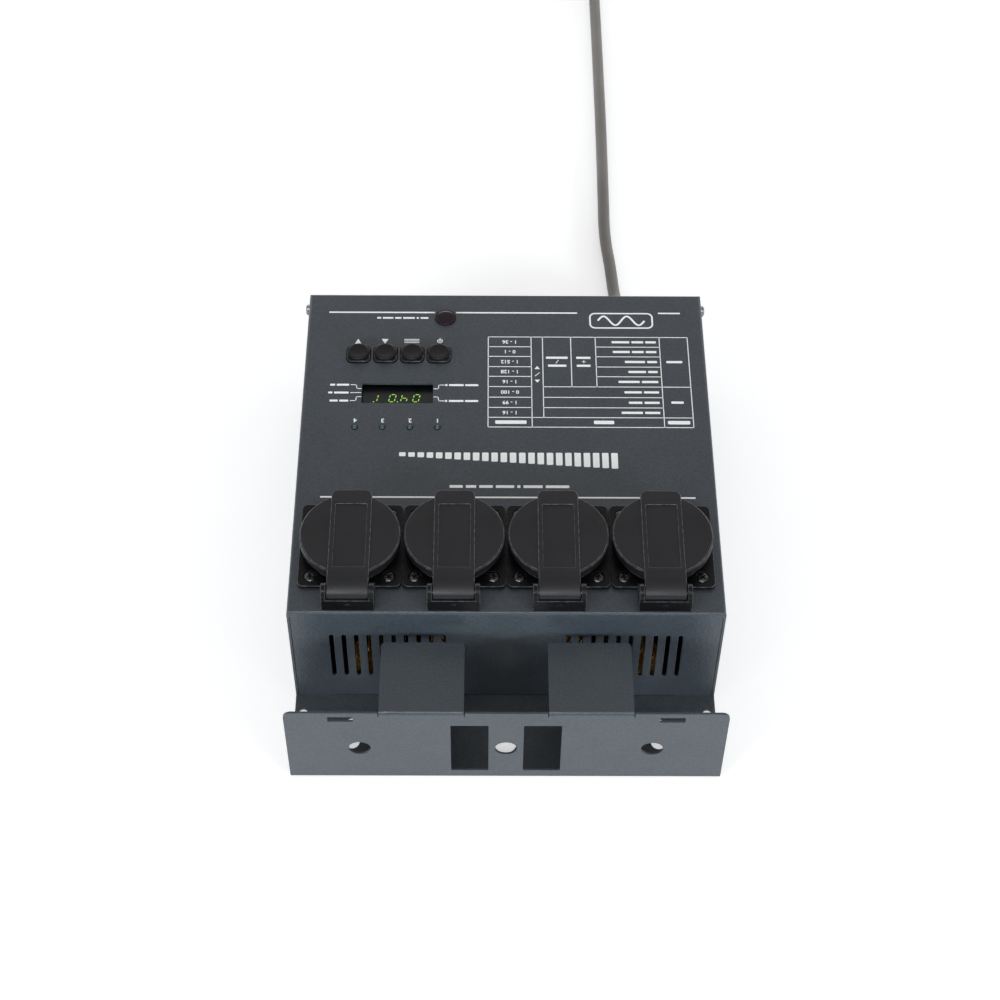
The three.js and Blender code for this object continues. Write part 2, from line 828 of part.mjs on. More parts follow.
// Strap over the lid with its barrel at the near end, seen from the side.
function strapProfile() {
  const rim = lidDiameter / 2;
  return polygon([
    [pinY, hingeRise - barrelDiameter / 2],
    [-rim, skirtBottom],
    [strapEnd, skirtBottom],
    [strapEnd, strapTop],
    [-rim + strapRun, strapTop],
    [pinY, hingeRise + barrelDiameter / 2],
  ]);
}

function socketLid() {
  const rim = lidDiameter / 2;
  const half = strapWidth / 2;
  const hollow = lidDiameter - 2 * lidSkirt;
  const disc = [
    [0, skirtBottom],
    [rim, skirtBottom],
    [rim, lidTop - lidChamfer],
    [rim - lidChamfer, lidTop],
    [0, lidTop],
  ];
  const plan = roundTopped(-half, half, pinY - barrelDiameter, strapEnd, strapCorner);
  const planned = prism(plan, "z", 0, strapTop + overrun, roundCornerSteps);
  const strap = prism(strapProfile(), "x", -half, half).intersect(planned);
  return cut(
    join(
      turned(disc, "z", [0, 0, 0], fineSides),
      strap,
      rod("x", barrelDiameter, -half, half, [0, pinY, hingeRise], roundSides),
    ),
    rod("z", hollow, -overrun, lidUnder, [0, 0, 0], fineSides),
    rod("x", pinDiameter + 2 * fit, -half - overrun, half + overrun, [0, pinY, hingeRise], smallSides),
    block(
      [-insetWidth / 2, insetWidth / 2],
      [-rim + insetNearMargin, rim - insetFarMargin],
      [strapTop - insetDepth, strapTop + overrun],
    ),
  );
}

function hingePin() {
  return rod("x", pinDiameter, -earOuter, earOuter, [0, pinY, hingeRise], smallSides);
}

function socketScrew(x, y) {
  const seat = socketFlange - counterboreDepth;
  const top = socketFlange + screwCrown;
  const profile = [
    [0, -screwLength],
    [screwShank / 2, -screwLength],
    [screwShank / 2, seat],
    [screwHead / 2, seat],
    [screwHead / 2, top - screwChamfer],
    [screwHead / 2 - screwChamfer, top],
    [0, top],
  ];
  return turned(profile, "z", [x, y, 0], smallSides);
}

// Control panel, with heights from the top of the panel

// Square skirt with a round dished cap above it and a stem below it.
function button() {
  const stemEnd = -controlDrop + switchFloor + fit + buttonTravel;
  const cap = [
    [0, 0],
    [buttonCapFoot / 2, 0],
    [buttonCapFoot / 2, buttonSkirtRise],
    [buttonCapTop / 2, buttonRise],
    [buttonCapTop / 2 - buttonDishRim, buttonRise],
    [0, buttonRise - buttonDish],
  ];
  const square = centredRectangle(0, 0, buttonSide, buttonSide, buttonCorner);
  return join(
    prism(square, "z", -buttonSkirtDepth, buttonSkirtRise),
    turned(cap, "z", [0, 0, 0], roundSides),
    rod("z", buttonStem, stemEnd, 0, [0, 0, 0], smallSides),
  );
}

function led() {
  const domeFoot = ledRise - ledDiameter / 2;
  const dome = [0, 1, 2, 3].map((i) => {
    const angle = (i / 3) * (Math.PI / 2);
    return [(ledDiameter / 2) * Math.cos(angle), domeFoot + (ledDiameter / 2) * Math.sin(angle)];
  });
  dome[dome.length - 1][0] = 0;
  const profile = [
    [0, -controlDrop],
    [ledCollar / 2, -controlDrop],
    [ledCollar / 2, -sheet - fit],
    [ledDiameter / 2, -sheet - fit],
    ...dome,
  ];
  return turned(profile, "z", [0, 0, 0], smallSides);
}

function display() {
  const halfSide = windowFrameWidth / 2 + displayBorder;
  const halfLength = windowFrameHeight / 2 + displayBorder;
  return block([-halfSide, halfSide], [-halfLength, halfLength], [-controlDrop, -displayDepth]);
}

// Lens with a rim on the panel and a nut under it
function sensor() {
  const profile = [
    [0, -sensorDepth],
    [sensorBody / 2, -sensorDepth],
    [sensorBody / 2, -sheet - fit - sensorNutHeight],
    [sensorNut / 2, -sheet - fit - sensorNutHeight],
    [sensorNut / 2, -sheet - fit],
    [sensorBody / 2, -sheet - fit],
    [sensorBody / 2, 0],
    [sensorFlange / 2, 0],
    [sensorFlange / 2, sensorFlangeRise],
    [sensorBody / 2, sensorFlangeRise],
    [0, sensorFlangeRise + sensorCrown],
  ];
  return turned(profile, "z", [0, 0, 0], roundSides);
}

// Board on four pillars under the panel, with the bodies of the four switches
function controlBoard() {
  const top = controlBoardTop;
  const x = [columns[0] - controlBoardMargin, columns[columnCount - 1] + controlBoardMargin];
  const y = [ledRow - controlBoardNear, buttonRow + controlBoardFar];
  const pieces = [block(x, y, [top - boardThickness, top])];
  for (const pillarX of [x[0] + pillarInset, x[1] - pillarInset])
    for (const pillarY of [y[0] + pillarInset, y[1] - pillarInset])
      pieces.push(
        rod("z", pillarDiameter, top - boardThickness, panelUnder, [pillarX, pillarY, 0], smallSides),
      );
  const bores = [];
  for (const column of columns) {
    const half = switchSide / 2;
    const around = [column - half, column + half];
    const along = [buttonRow - half, buttonRow + half];
    const bore = buttonStem + 2 * fit;
    pieces.push(block(around, along, [top - boardThickness, top + switchHeight]));
    bores.push(
      rod("z", bore, top + switchFloor, top + switchHeight + overrun, [column, buttonRow, 0], smallSides),
    );
  }
  return cut(join(...pieces), ...bores);
}

// Power board on four pillars, with transformer, relays, terminals and capacitors

// Middles of the pieces on the board, as shares of its half width and half length
const transformerShares = [-0.68, 0.1];
const relayShares = [0.1, -0.7];
const terminalShares = [0.25, 0.75];
const capacitorShares = [0.1, 0.05];

function powerBoard() {
  const half = [halfWidth - powerBoardFromSide, (powerBoardFar - powerBoardNear) / 2];
  const middle = (powerBoardFar + powerBoardNear) / 2;
  const under = sheet + powerBoardLift;
  const top = under + boardThickness;
  const place = ([shareX, shareY]) => [shareX * half[0], middle + shareY * half[1]];
  const boxOn = ([x, y], [width, length, height]) =>
    block(
      [x - width / 2, x + width / 2],
      [y - length / 2, y + length / 2],
      [under, top + height],
    );
  const pieces = [
    block([-half[0], half[0]], [middle - half[1], middle + half[1]], [under, top]),
    boxOn(place(transformerShares), transformerSize),
    boxOn(place(terminalShares), terminalSize),
  ];
  for (const signX of sideSigns)
    for (const signY of sideSigns) {
      const x = signX * (half[0] - powerPillarInset);
      const y = middle + signY * (half[1] - powerPillarInset);
      pieces.push(rod("z", pillarDiameter, sheet, top, [x, y, 0], smallSides));
    }
  const [relayX, relayY] = place(relayShares);
  for (let i = 0; i < relayCount; i++) {
    const x = relayX + (i - (relayCount - 1) / 2) * relayPitch;
    pieces.push(boxOn([x, relayY], relaySize));
  }
  const [capacitorX, capacitorY] = place(capacitorShares);
  for (let i = 0; i < capacitorCount; i++) {
    const x = capacitorX + i * capacitorPitch;
    pieces.push(
      rod("z", capacitorDiameter, under, top + capacitorHeight, [x, capacitorY, 0], smallSides),
    );
  }
  return join(...pieces);
}

// Aluminium comb across the tray, its fins upright
function heatSink() {
  const gap = (sinkLength - finCount * finThickness) / (finCount - 1);
  const outline = [
    [sinkFar, sheet],
    [sinkFar, sheet + sinkHeight],
  ];
  for (let i = finCount - 1; i >= 0; i--) {
    const left = sinkNear + i * (finThickness + gap);
    outline.push([left, sheet + sinkHeight]);
    if (i > 0)
      outline.push(
        [left, sheet + sinkPlate],
        [left - gap, sheet + sinkPlate],
        [left - gap, sheet + sinkHeight],
      );
  }
  outline.push([sinkNear, sheet]);
  const sinkEnd = halfWidth - sinkFromSide;
  return prism(polygon(outline), "x", -sinkEnd, sinkEnd);
}

// Ring-shaped choke standing upright on a foot behind the near wall
function choke(x, lift) {
  const outer = chokeDiameter / 2;
  const inner = chokeBore / 2;
  const round = chokeRound;
  const middleZ = sheet + lift + outer;
  const section = [
    [inner, round],
    [inner + round, 0],
    [outer - round, 0],
    [outer, round],
    [outer, chokeThickness - round],
    [outer - round, chokeThickness],
    [inner + round, chokeThickness],
    [inner, chokeThickness - round],
    [inner, round],
  ];
  const foot = block(
    [x - chokeFootWidth / 2, x + chokeFootWidth / 2],
    [chokeFromWall + round, chokeFromWall + chokeThickness - round],
    [sheet, sheet + lift + chokeFootBite],
  );
  return join(turned(section, "y", [x, chokeFromWall, middleZ], roundSides), foot);
}

// Connectors of the far wall, with depths from its outer face

// Panel connector with a rectangular flange; its face is a well with pins, or has contact holes.
function signalSocket(x, hasPins) {
  const wall = farWallOuter;
  const flange = prism(
    centredRectangle(x, signalHeight, signalWidth, signalTall, signalCorner),
    "y",
    wall,
    wall + signalFlange,
  );
  const insideEnd = wall - signalInside;
  let body = join(
    flange,
    rod("y", signalBody, insideEnd, wall + signalFlange, [x, 0, signalHeight], roundSides),
  );
  const face = wall + signalFlange;
  const places = [0, 1, 2].map((i) => {
    const angle = Math.PI + (i * Math.PI) / 2;
    const reach = signalPinCircle / 2;
    return [x + reach * Math.cos(angle), 0, signalHeight + reach * Math.sin(angle)];
  });
  if (!hasPins) {
    const depth = face - signalContactDepth;
    const holes = places.map((place) =>
      rod("y", signalContactHole, depth, face + overrun, place, smallSides),
    );
    return cut(body, ...holes);
  }
  const floor = face - signalWellDepth;
  body = cut(body, rod("y", signalWell, floor, face + overrun, [x, 0, signalHeight], roundSides));
  const pins = places.map((place) =>
    rod("y", signalPin, insideEnd, floor + signalPinLength, place, smallSides),
  );
  return join(body, ...pins);
}

// Small round control socket
function controlSocket() {
  const face = farWallOuter + signalFlange;
  const middle = [controlSocketX, 0, signalHeight];
  const flange = prism(
    centredRectangle(
      controlSocketX,
      signalHeight,
      controlSocketWidth,
      controlSocketTall,
      signalCorner,
    ),
    "y",
    farWallOuter,
    face,
  );
  const well = [face - controlSocketWellDepth, face + overrun];
  const body = join(
    flange,
    rod("y", controlSocketBody, farWallOuter - controlSocketInside, face, middle, roundSides),
  );
  return join(
    cut(body, rod("y", controlSocketWell, ...well, middle, roundSides)),
    rod("y", controlSocketKeeper, well[0] - fit, face, middle, roundSides),
  );
}

function fuseHolder(x) {
  const profile = [
    [0, -fuseInside],
    [fuseBody / 2, -fuseInside],
    [fuseBody / 2, 0],
    [fuseFlange / 2, 0],
    [fuseFlange / 2, fuseFlangeThickness],
    [fuseCap / 2, fuseFlangeThickness],
    [fuseCap / 2, fuseCapRise - fuseCapChamfer],
    [fuseCap / 2 - fuseCapChamfer, fuseCapRise],
    [0, fuseCapRise],
  ];
  return turned(profile, "y", [x, farWallOuter, fuseHeight], roundSides);
}

// Gland: lock nut inside the far wall, nut and dome outside it
function cordGland() {
  const lockNutFace = -sheet;
  const domeFoot = glandNutThickness;
  const domeShoulder = glandReach * glandDomeShare;
  const profile = [
    [0, -glandThreadLength],
    [glandThread / 2, -glandThreadLength],
    [glandThread / 2, lockNutFace - glandLockNutThickness],
    [glandLockNut / 2, lockNutFace - glandLockNutThickness],
    [glandLockNut / 2, lockNutFace],
    [glandThread / 2, lockNutFace],
    [glandThread / 2, 0],
    [glandNut / 2, 0],
    [glandNut / 2, domeFoot],
    [glandDome / 2, domeFoot],
    [glandDome / 2, domeShoulder],
    [glandMouth / 2, glandReach],
    [0, glandReach],
  ];
  return turned(profile, "y", [glandFromMiddle, farWallOuter, glandHeight], roundSides);
}

// Mains cord, in the pack's own frame

function regularSection(diameter, sides) {
  const points = [];
  for (let i = 0; i < sides; i++) {
    const angle = (i / sides) * 2 * Math.PI;
    points.push([(diameter / 2) * Math.cos(angle), (diameter / 2) * Math.sin(angle)]);
  }
  return polygon(points);
}

function tubeAlong(curve, diameter, sides, stepLength) {
  const steps = Math.ceil(curve.getLength() / stepLength);
  const tube = new THREE.ExtrudeGeometry(regularSection(diameter, sides), {
    steps,
    bevelEnabled: false,
    extrudePath: curve,
  });
  return solid(tube);
}

function curveThrough(points) {
  const places = points.map((point) => new THREE.Vector3(...point));
  return new THREE.CatmullRomCurve3(places, false, "centripetal");
}

// Centre line of the coil: it spirals in on the standing surface, climbs a layer in the half
// turn where it reverses, spirals out above itself and leads to the plug.
function coilPoints() {
  const [endX] = cordRoute[cordRoute.length - 1];
  const middleX = endX - coilRadius;
  const low = cordRadius + cordLift;
  const high = low + coilLayerStep;
  const points = [[endX, coilMiddleY - cordDiameter, low]];
  const count = Math.round(coilTurns * coilStepsPerTurn);
  for (let i = 0; i <= count; i++) {
    const turn = (i / count) * coilTurns;
    const fromReversal = turn - coilTurns / 2;
    const radius = coilInnerRadius + coilPitch * Math.abs(fromReversal);
    const climb = THREE.MathUtils.smoothstep(2 * fromReversal, -0.5, 0.5);
    const angle = 2 * Math.PI * turn;
    points.push([
      middleX + radius * Math.cos(angle),
      coilMiddleY + radius * Math.sin(angle),
      low + climb * coilLayerStep,
    ]);
  }
  const tailSteps = 4;
  for (let i = 1; i <= tailSteps; i++) {
    const along = i / tailSteps;
    const rise = THREE.MathUtils.smoothstep(along, 0, 1);
    points.push([
      middleX - along * coilTailRun,
      coilMiddleY + coilRadius,
      high + rise * (plugAxis - high),
    ]);
  }
  points.push([middleX - coilTailRun - cordDiameter, coilMiddleY + coilRadius, plugAxis]);
  return points;
}

// Least distance between two stretches of the coil that lie a third of a loop or more apart.
function leastSelfGap(curve) {
  const samplesPerTurn = 48;
  const samples = curve.getSpacedPoints(Math.round(coilTurns * samplesPerTurn));
  const apart = samplesPerTurn / 3;
  let least = Infinity;
  samples.forEach((point, i) => {
    for (let j = i + apart; j < samples.length; j++)
      least = Math.min(least, point.distanceTo(samples[j]));
  });
  return least - cordDiameter;
}

// Straight mains plug lying on its side, from the cord's end towards -X
function mainsPlug(startX, y) {
  const neckEnd = plugNeckLength;
  const gripEnd = neckEnd + plugBody - plugFace;
  const faceEnd = neckEnd + plugBody;
  const profile = [
    [0, 0],
    [plugNeck / 2, 0],
    [plugNeck / 2, neckEnd],
    [plugGrip / 2, neckEnd + plugFace],
    [plugGrip / 2, gripEnd - plugFace],
    [plugDiameter / 2, gripEnd],
    [plugDiameter / 2, faceEnd],
    [0, faceEnd],
  ];
  const faceX = startX - faceEnd;
  const pins = sideSigns.map((sign) =>
    rod(
      "x",
      plugPin,
      faceX - plugPinLength,
      faceX + fit,
      [0, y + (sign * contactSpacing) / 2, plugAxis],
      smallSides,
    ),
  );
  return join(turned(profile, "x", [startX, y, plugAxis], roundSides, -1), ...pins);
}

// Assembly

const pack = new THREE.Group();
pack.position.y = -packMiddle;

// The pieces of one group, at a place in the pack.
function groupAt(x, y, z, ...meshes) {
  const group = new THREE.Group();
  group.position.set(x, y, z);
  group.add(...meshes);
  pack.add(group);
}

pack.add(part("base_tray", tray(), greyPaint));
pack.add(part("top_cover", cover(), greyPaint));

sideSigns.forEach((sign) => {
  const name = sign < 0 ? "left_side_screw" : "right_side_screw";
  pack.add(part(name, sideScrew(sign), brightSteel));
});

const socketSolid = socketBody();
const lidSolid = socketLid();
const pinSolid = hingePin();
sockets.forEach((x, i) => {
  const number = i + 1;
  const screws = screwPlaces.map(([screwX, screwY], j) =>
    part("socket_" + number + "_screw_" + (j + 1), socketScrew(screwX, screwY), blackScrew),
  );
  groupAt(
    x,
    socketRow,
    bodyHeight,
    part("socket_body_" + number, socketSolid, blackPlastic),
    part("socket_lid_" + number, lidSolid, lidPlastic),
    part("hinge_pin_" + number, pinSolid, brightSteel),
    ...screws,
  );
});

const buttonNames = ["up_button", "down_button", "menu_button", "mode_button"];
const buttonSolid = button();
const ledSolid = led();
columns.forEach((x, i) => {
  groupAt(x, buttonRow, bodyHeight, part(buttonNames[i], buttonSolid, buttonPlastic));
  groupAt(x, ledRow, bodyHeight, part("channel_led_" + (columnCount - i), ledSolid, greenLamp));
});
groupAt(columnsMiddle, displayRow, bodyHeight, part("display", display(), displayPlastic));
groupAt(sensorX, sensorY, bodyHeight, part("infrared_sensor", sensor(), lensPlastic));
pack.add(part("control_board", controlBoard(), boardGreen));

pack.add(part("power_board", powerBoard(), boardGreen));
pack.add(part("heat_sink", heatSink(), aluminium));
const chokePlaces = [
  [-chokeOuterFromMiddle, chokeOuterLift],
  [-chokeInnerFromMiddle, chokeInnerLift],
  [chokeInnerFromMiddle, chokeInnerLift],
  [chokeOuterFromMiddle, chokeOuterLift],
];
chokePlaces.forEach(([x, lift], i) => pack.add(part("choke_" + (i + 1), choke(x, lift), copperWire)));

pack.add(part("signal_input", signalSocket(signalInX, true), nickel));
pack.add(part("signal_output", signalSocket(signalOutX, false), nickel));
pack.add(part("control_socket", controlSocket(), nickel));
fuses.forEach((x, i) => pack.add(part("fuse_holder_" + (i + 1), fuseHolder(x), blackPlastic)));
pack.add(part("cord_gland", cordGland(), blackPlastic));

const coilLine = coilPoints();
const coilCurve = curveThrough(coilLine);
const [coilEndX, coilEndY] = coilLine[coilLine.length - 1];
const cordCurve = curveThrough(cordRoute);
const coilStep = (2 * Math.PI * (coilInnerRadius + coilRadius)) / 2 / coilStepsPerTurn;
const cordLengthMm = cordCurve.getLength() + coilCurve.getLength();
console.log("least gap of the coil to itself, mm:", leastSelfGap(coilCurve).toFixed(2));
console.log("length of the cord, mm:", cordLengthMm.toFixed(0));

const dimmerPack = new THREE.Group();
dimmerPack.name = "dimmer_pack";
dimmerPack.add(
  pack,
  part(
    "mains_cord",
    tubeAlong(cordCurve, cordDiameter, cordSides, cordStepDiameters * cordDiameter),
    cordRubber,
  ),
  part("cord_coil", tubeAlong(coilCurve, cordDiameter, coilSides, coilStep), cordRubber),
  part("mains_plug", mainsPlug(coilEndX - fit, coilEndY), blackPlastic),
);

export default dimmerPack;
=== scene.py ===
"""Looks of the dimmer pack: folded steel case, four lidded mains sockets, control panel and mains lead."""

from math import acos, atan2, cos, dist, pi, radians, sin, tan, tau

import bmesh
import bpy
from mathutils import Matrix, Vector
from mathutils.geometry import tessellate_polygon


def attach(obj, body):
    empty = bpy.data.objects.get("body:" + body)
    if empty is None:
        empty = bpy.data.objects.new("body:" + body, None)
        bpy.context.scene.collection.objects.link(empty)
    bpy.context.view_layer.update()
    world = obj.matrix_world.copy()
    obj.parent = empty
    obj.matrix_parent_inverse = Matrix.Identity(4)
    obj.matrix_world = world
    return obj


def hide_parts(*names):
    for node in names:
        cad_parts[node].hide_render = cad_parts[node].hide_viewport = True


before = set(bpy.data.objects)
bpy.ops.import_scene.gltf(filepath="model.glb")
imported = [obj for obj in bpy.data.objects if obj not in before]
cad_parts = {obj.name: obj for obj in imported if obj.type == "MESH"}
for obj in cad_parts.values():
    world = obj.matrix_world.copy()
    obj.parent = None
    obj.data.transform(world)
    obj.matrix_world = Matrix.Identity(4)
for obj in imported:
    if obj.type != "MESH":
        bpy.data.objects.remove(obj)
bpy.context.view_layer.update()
scene = bpy.context.scene
MM = 0.001

# Sizes of the pack's solids, in millimetres
SHEET = 1.2  # steel
BEND, BEND_IN = 1.6, 0.4  # outer and inner radius of its folds
HALF, TOP = 105, 72  # cover: half width and height
NEAR, FAR = -91, 119  # its two end faces
PLATE, PLATE_TOP = -138, 57  # mounting plate: front face and height
TABS = (20, 60)  # span of a tab bent back from it
TRAY_END = 117.5  # outer face of the tray's far wall
SOCKETS, ROW = (-75.6, -25.2, 25.2, 75.6), -52
SCREWS = (-19, 19)  # flange screws, from a socket's centre
HINGE = (-32.8, 8)  # hinge pin's Y and Z, from a socket's centre
COLUMNS = (-77.1, -63.05, -49.0, -34.95)
KEY_ROW, LED_ROW = 75.3, 24.9
LENS = (-31.9, 101.5)
SIDE_SCREW = (112.7, 66)  # Y and Z
SIGNALS, CONTROL = (("signal_input", -79.002), ("signal_output", -45.003)), -14.28
FUSES = (13.9965, 36.0045, 58.002, 79.9995)
SOCKET_LINE, FUSE_LINE = 38, 50  # heights on the far wall
GLAND = (68, 22)  # X and Z


# Materials


def linear(colour):
    """An sRGB colour, 0 to 255, as linear light."""
    shares = [value / 255 for value in colour]
    return tuple(s / 12.92 if s <= 0.04045 else ((s + 0.055) / 1.055) ** 2.4 for s in shares)


def shaded(colour, times):
    return tuple(min(1, c * times) for c in colour)


def given(thing, **settings):
    for name, value in settings.items():
        setattr(thing, name, value)
    return thing


def feed(node, inputs):
    """Sets a node's inputs, named or numbered, each to a number or a colour, or to a link."""
    for key, value in inputs.items():
        target = node.inputs[key] if key in (0, 1) else next(s for s in node.inputs if s.name == key and s.enabled)
        if isinstance(value, bpy.types.NodeSocket):
            node.id_data.links.new(value, target)
        else:
            target.default_value = (*value, 1) if isinstance(value, tuple) else value


def add(tree, kind, inputs, **settings):
    """The first output of a new node."""
    node = given(tree.nodes.new("ShaderNode" + kind), **settings)
    feed(node, inputs)
    return next((o for o in node.outputs if o.enabled), None)


class Finish:
    """A node material under construction."""

    def __init__(self, name, slot):
        self.material = bpy.data.materials.new(name)
        self.material.use_nodes = True
        self.material["slot"] = slot
        self.tree = self.material.node_tree
        self.shader = self.tree.nodes["Principled BSDF"]
        self.place = self.tree.nodes.new("ShaderNodeTexCoord").outputs["Object"]

    def noise(self, scale, detail=3.0):
        return add(self.tree, "TexNoise", {"Scale": scale, "Detail": detail, "Vector": self.place})

    def spread(self, value, low, high, from_low=0, from_high=1):
        """The value's span from from_low to from_high as one from low to high."""
        return add(self.tree, "MapRange", {
            "From Min": from_low, "From Max": from_high, "To Min": low, "To Max": high, "Value": value,
        })

    def mix(self, share, first, second):
        return add(self.tree, "Mix", {"Factor": share, "A": first, "B": second}, data_type="RGBA")

    def edge_wear_and_highlight(self):
        """How exposed an edge is, broken up by noise: worn paint on the steel, painted highlights along the rims of
        plastics and screws.
        """
        edge = given(self.tree.nodes.new("ShaderNodeAttribute"), attribute_name="rubbed_and_shining_edges").outputs["Fac"]
        patchy = self.spread(self.noise(400), 0.2, 1, 0.4, 0.6)
        return add(self.tree, "Math", {0: edge, 1: patchy}, operation="MULTIPLY")


MIDDLE = (0.3, 0.7)  # the span of a noise that shows
# Light specks in the grain, partly the coat's grain, partly painted glints off it
SPECKS, GLINT_LIGHTENING = (0.4, 0.62), 2.6
GRAIN_STRENGTH, SMUDGE = 0.6, 2.3


def plain_finish(
    name, slot, colour, rough, shade=0.12, metallic=0.0, specular=0.5, coat=0.0, blotch=30, grain=1400,
    depth=0.00002, grain_glints=0.0, edge=None, edge_share=0.5, uneven=0.08,
):
    """Mottled colour, uneven gloss and a fine grain, with light specks and lighter edges where given: the specks
    partly grain, partly painted glints; the edges worn paint on the steel, painted highlights on plastics and screws.
    """
    finish = Finish(name, slot)
    base = linear(colour)
    surface = finish.mix(
        finish.spread(finish.noise(blotch, 4), 0, 1, *MIDDLE), shaded(base, 1 - shade), shaded(base, 1 + shade),
    )
    fine = finish.noise(grain, 2)
    # Light specks: partly grain, partly painted glints.
    if grain_glints:
        surface = finish.mix(finish.spread(fine, 0, grain_glints, *SPECKS), surface, shaded(base, GLINT_LIGHTENING))
    # Lighter exposed edges: worn paint on the steel, painted highlights on the plastics and screws.
    if edge:
        surface = finish.mix(finish.spread(finish.edge_wear_and_highlight(), 0, edge_share), surface, linear(edge))
    smudge = finish.noise(blotch * SMUDGE, 5)
    feed(finish.shader, {
        "Metallic": metallic, "Specular IOR Level": specular, "Coat Weight": coat, "Base Color": surface,
        "Roughness": finish.spread(smudge, rough - uneven, rough + uneven, *MIDDLE),
        "Normal": add(finish.tree, "Bump", {"Strength": GRAIN_STRENGTH, "Distance": depth, "Height": fine}),
    })
    return finish.material


# Its specks are partly grain, partly painted glints; its edge colour is paint worn at the exposed sheet edges.
paint = plain_finish(
    "grey_powder_coat", "grey_paint", (46, 52, 58), 0.36, shade=0.06, specular=0.65, grain=1300, depth=0.00018,
    grain_glints=0.3, edge=(128, 134, 140), uneven=0.04,
)
# The edge colours of the mouldings, lids, screws and keys below are painted highlights along their rims.
black_plastic = plain_finish(
    "black_moulding", "black_plastic", (10, 10, 12), 0.34, specular=0.22, edge=(100, 100, 104), edge_share=0.6,
)
lid_plastic = plain_finish(
    "lid_moulding", "lid_plastic", (19, 18, 22), 0.4, shade=0.05, specular=0.4, grain=1300, depth=0.00005,
    edge=(136, 136, 142),
)
black_screw = plain_finish(
    "blackened_steel", "black_screw", (12, 12, 14), 0.24, metallic=0.2, edge=(150, 150, 154), edge_share=0.3,
)
steel = plain_finish("bright_steel", "bright_steel", (140, 143, 147), 0.3, metallic=1.0, blotch=90)
button_plastic = plain_finish("button_rubber", "button_plastic", (14, 13, 15), 0.36, specular=0.28, edge=(84, 84, 88))
board = plain_finish("circuit_board", "circuit_board", (28, 84, 52), 0.45, blotch=160, shade=0.3)
aluminium = plain_finish("aluminium", "aluminium", (158, 161, 165), 0.4, metallic=0.9, blotch=60)
copper = plain_finish("enamelled_copper", "copper_wire", (188, 136, 66), 0.34, metallic=0.6, blotch=240, shade=0.3)
ferrite = plain_finish("ferrite_core", "copper_wire", (44, 58, 48), 0.5, blotch=200)
nickel = plain_finish("nickel", "nickel", (150, 153, 157), 0.3, metallic=0.9, blotch=70)
rubber = plain_finish("cord_sheath", "cord_rubber", (112, 108, 104), 0.4, grain=700, depth=0.00006)
black_insert = plain_finish("black_insert", "black_plastic", (22, 22, 24), 0.35)
woven = plain_finish("woven_tie", "black_plastic", (34, 35, 38), 0.8, grain=900, depth=0.0001)
lens_finish = plain_finish("red_black_lens", "lens_plastic", (24, 12, 22), 0.16, specular=0.3)
green_lamp = plain_finish("green_lamp", "green_lamp", (12, 54, 44), 0.15, coat=0.6)
smoked = plain_finish("smoked_window", "display_plastic", (24, 24, 27), 0.25)
unlit = plain_finish("unlit_segment", "display_plastic", (38, 46, 36), 0.4)
white_ink = plain_finish("white_ink", "grey_paint", (252, 252, 252), 0.5, shade=0.02, blotch=120, grain=2400)
lit = Finish("lit_segment", "display_plastic")
glowing = lit.spread(lit.noise(600), 0, 1, 0.35, 0.65)
feed(lit.shader, {
    "Base Color": lit.mix(glowing, linear((120, 190, 60)), linear((170, 220, 96))),
    "Roughness": lit.spread(lit.noise(900), 0.3, 0.5),
    "Emission Color": linear((160, 232, 70)), "Emission Strength": 0.6,
})
lit = lit.material


# Camera: the lens, place and tilt fitted to the photograph

CAMERA_PLACE = (-0.00929, -0.67015, 0.8904)
pitch, yaw, roll = (radians(a) for a in (51.6265, 0.5539, 0.6242))
across = Vector((cos(yaw), -sin(yaw), 0))
ahead = Vector((sin(yaw), cos(yaw), 0)) * cos(pitch) - Vector((0, 0, sin(pitch)))
upward = across.cross(ahead)
right = across * cos(roll) + upward * sin(roll)
above = upward * cos(roll) - across * sin(roll)


def shown(name, data):
    """A new object in the scene."""
    obj = bpy.data.objects.new(name, data)
    scene.collection.objects.link(obj)
    return obj


camera = shown("camera", bpy.data.cameras.new("camera"))
given(camera.data, lens=75.693, sensor_width=36, sensor_fit="HORIZONTAL", clip_start=0.01, clip_end=50)
camera.matrix_world = Matrix.Translation(CAMERA_PLACE) @ Matrix((right, above, -ahead)).transposed().to_4x4()
scene.camera = camera


# Mains cord: one curve from the gland to the plug, its unseen length coiled

CORD = 7.0
LYING = 3.6  # height of its axis on the floor
ROUTE = [
    (68, 138.3, 22), (67.9, 145.5, 22), (67.5, 153, 20.2), (66.8, 161.5, 14.4),
    (65.9, 170, 8), (65, 178.5, 4.5), (64.1, 186.5, 3.7), (62.6, 208, LYING),
    (60.8, 227, LYING), (60.2, 243, LYING), (60.4, 262, LYING), (60.9, 330, LYING),
    (60.8, 400, LYING), (60.5, 470, LYING), (60.5, 514.7, LYING),
]
COIL_TURNS, COIL_STEPS = 4.25, 102
COIL_X, COIL_Y = 12.7125, 529.0
COIL_WAIST, COIL_SPREAD = 31, 7.9  # radius at mid-coil, and its growth each turn from there
COIL_RADIUS, COIL_RISE = 47.7875, 7.6
PLUG_BACK, PLUG_AXIS = -42.5925, 19.2


def polar(radius, angle, x=0.0, y=0.0):
    return x + radius * cos(angle), y + radius * sin(angle)


def smooth_step(x):
    x = min(1, max(0, x))
    return x * x * (3 - 2 * x)


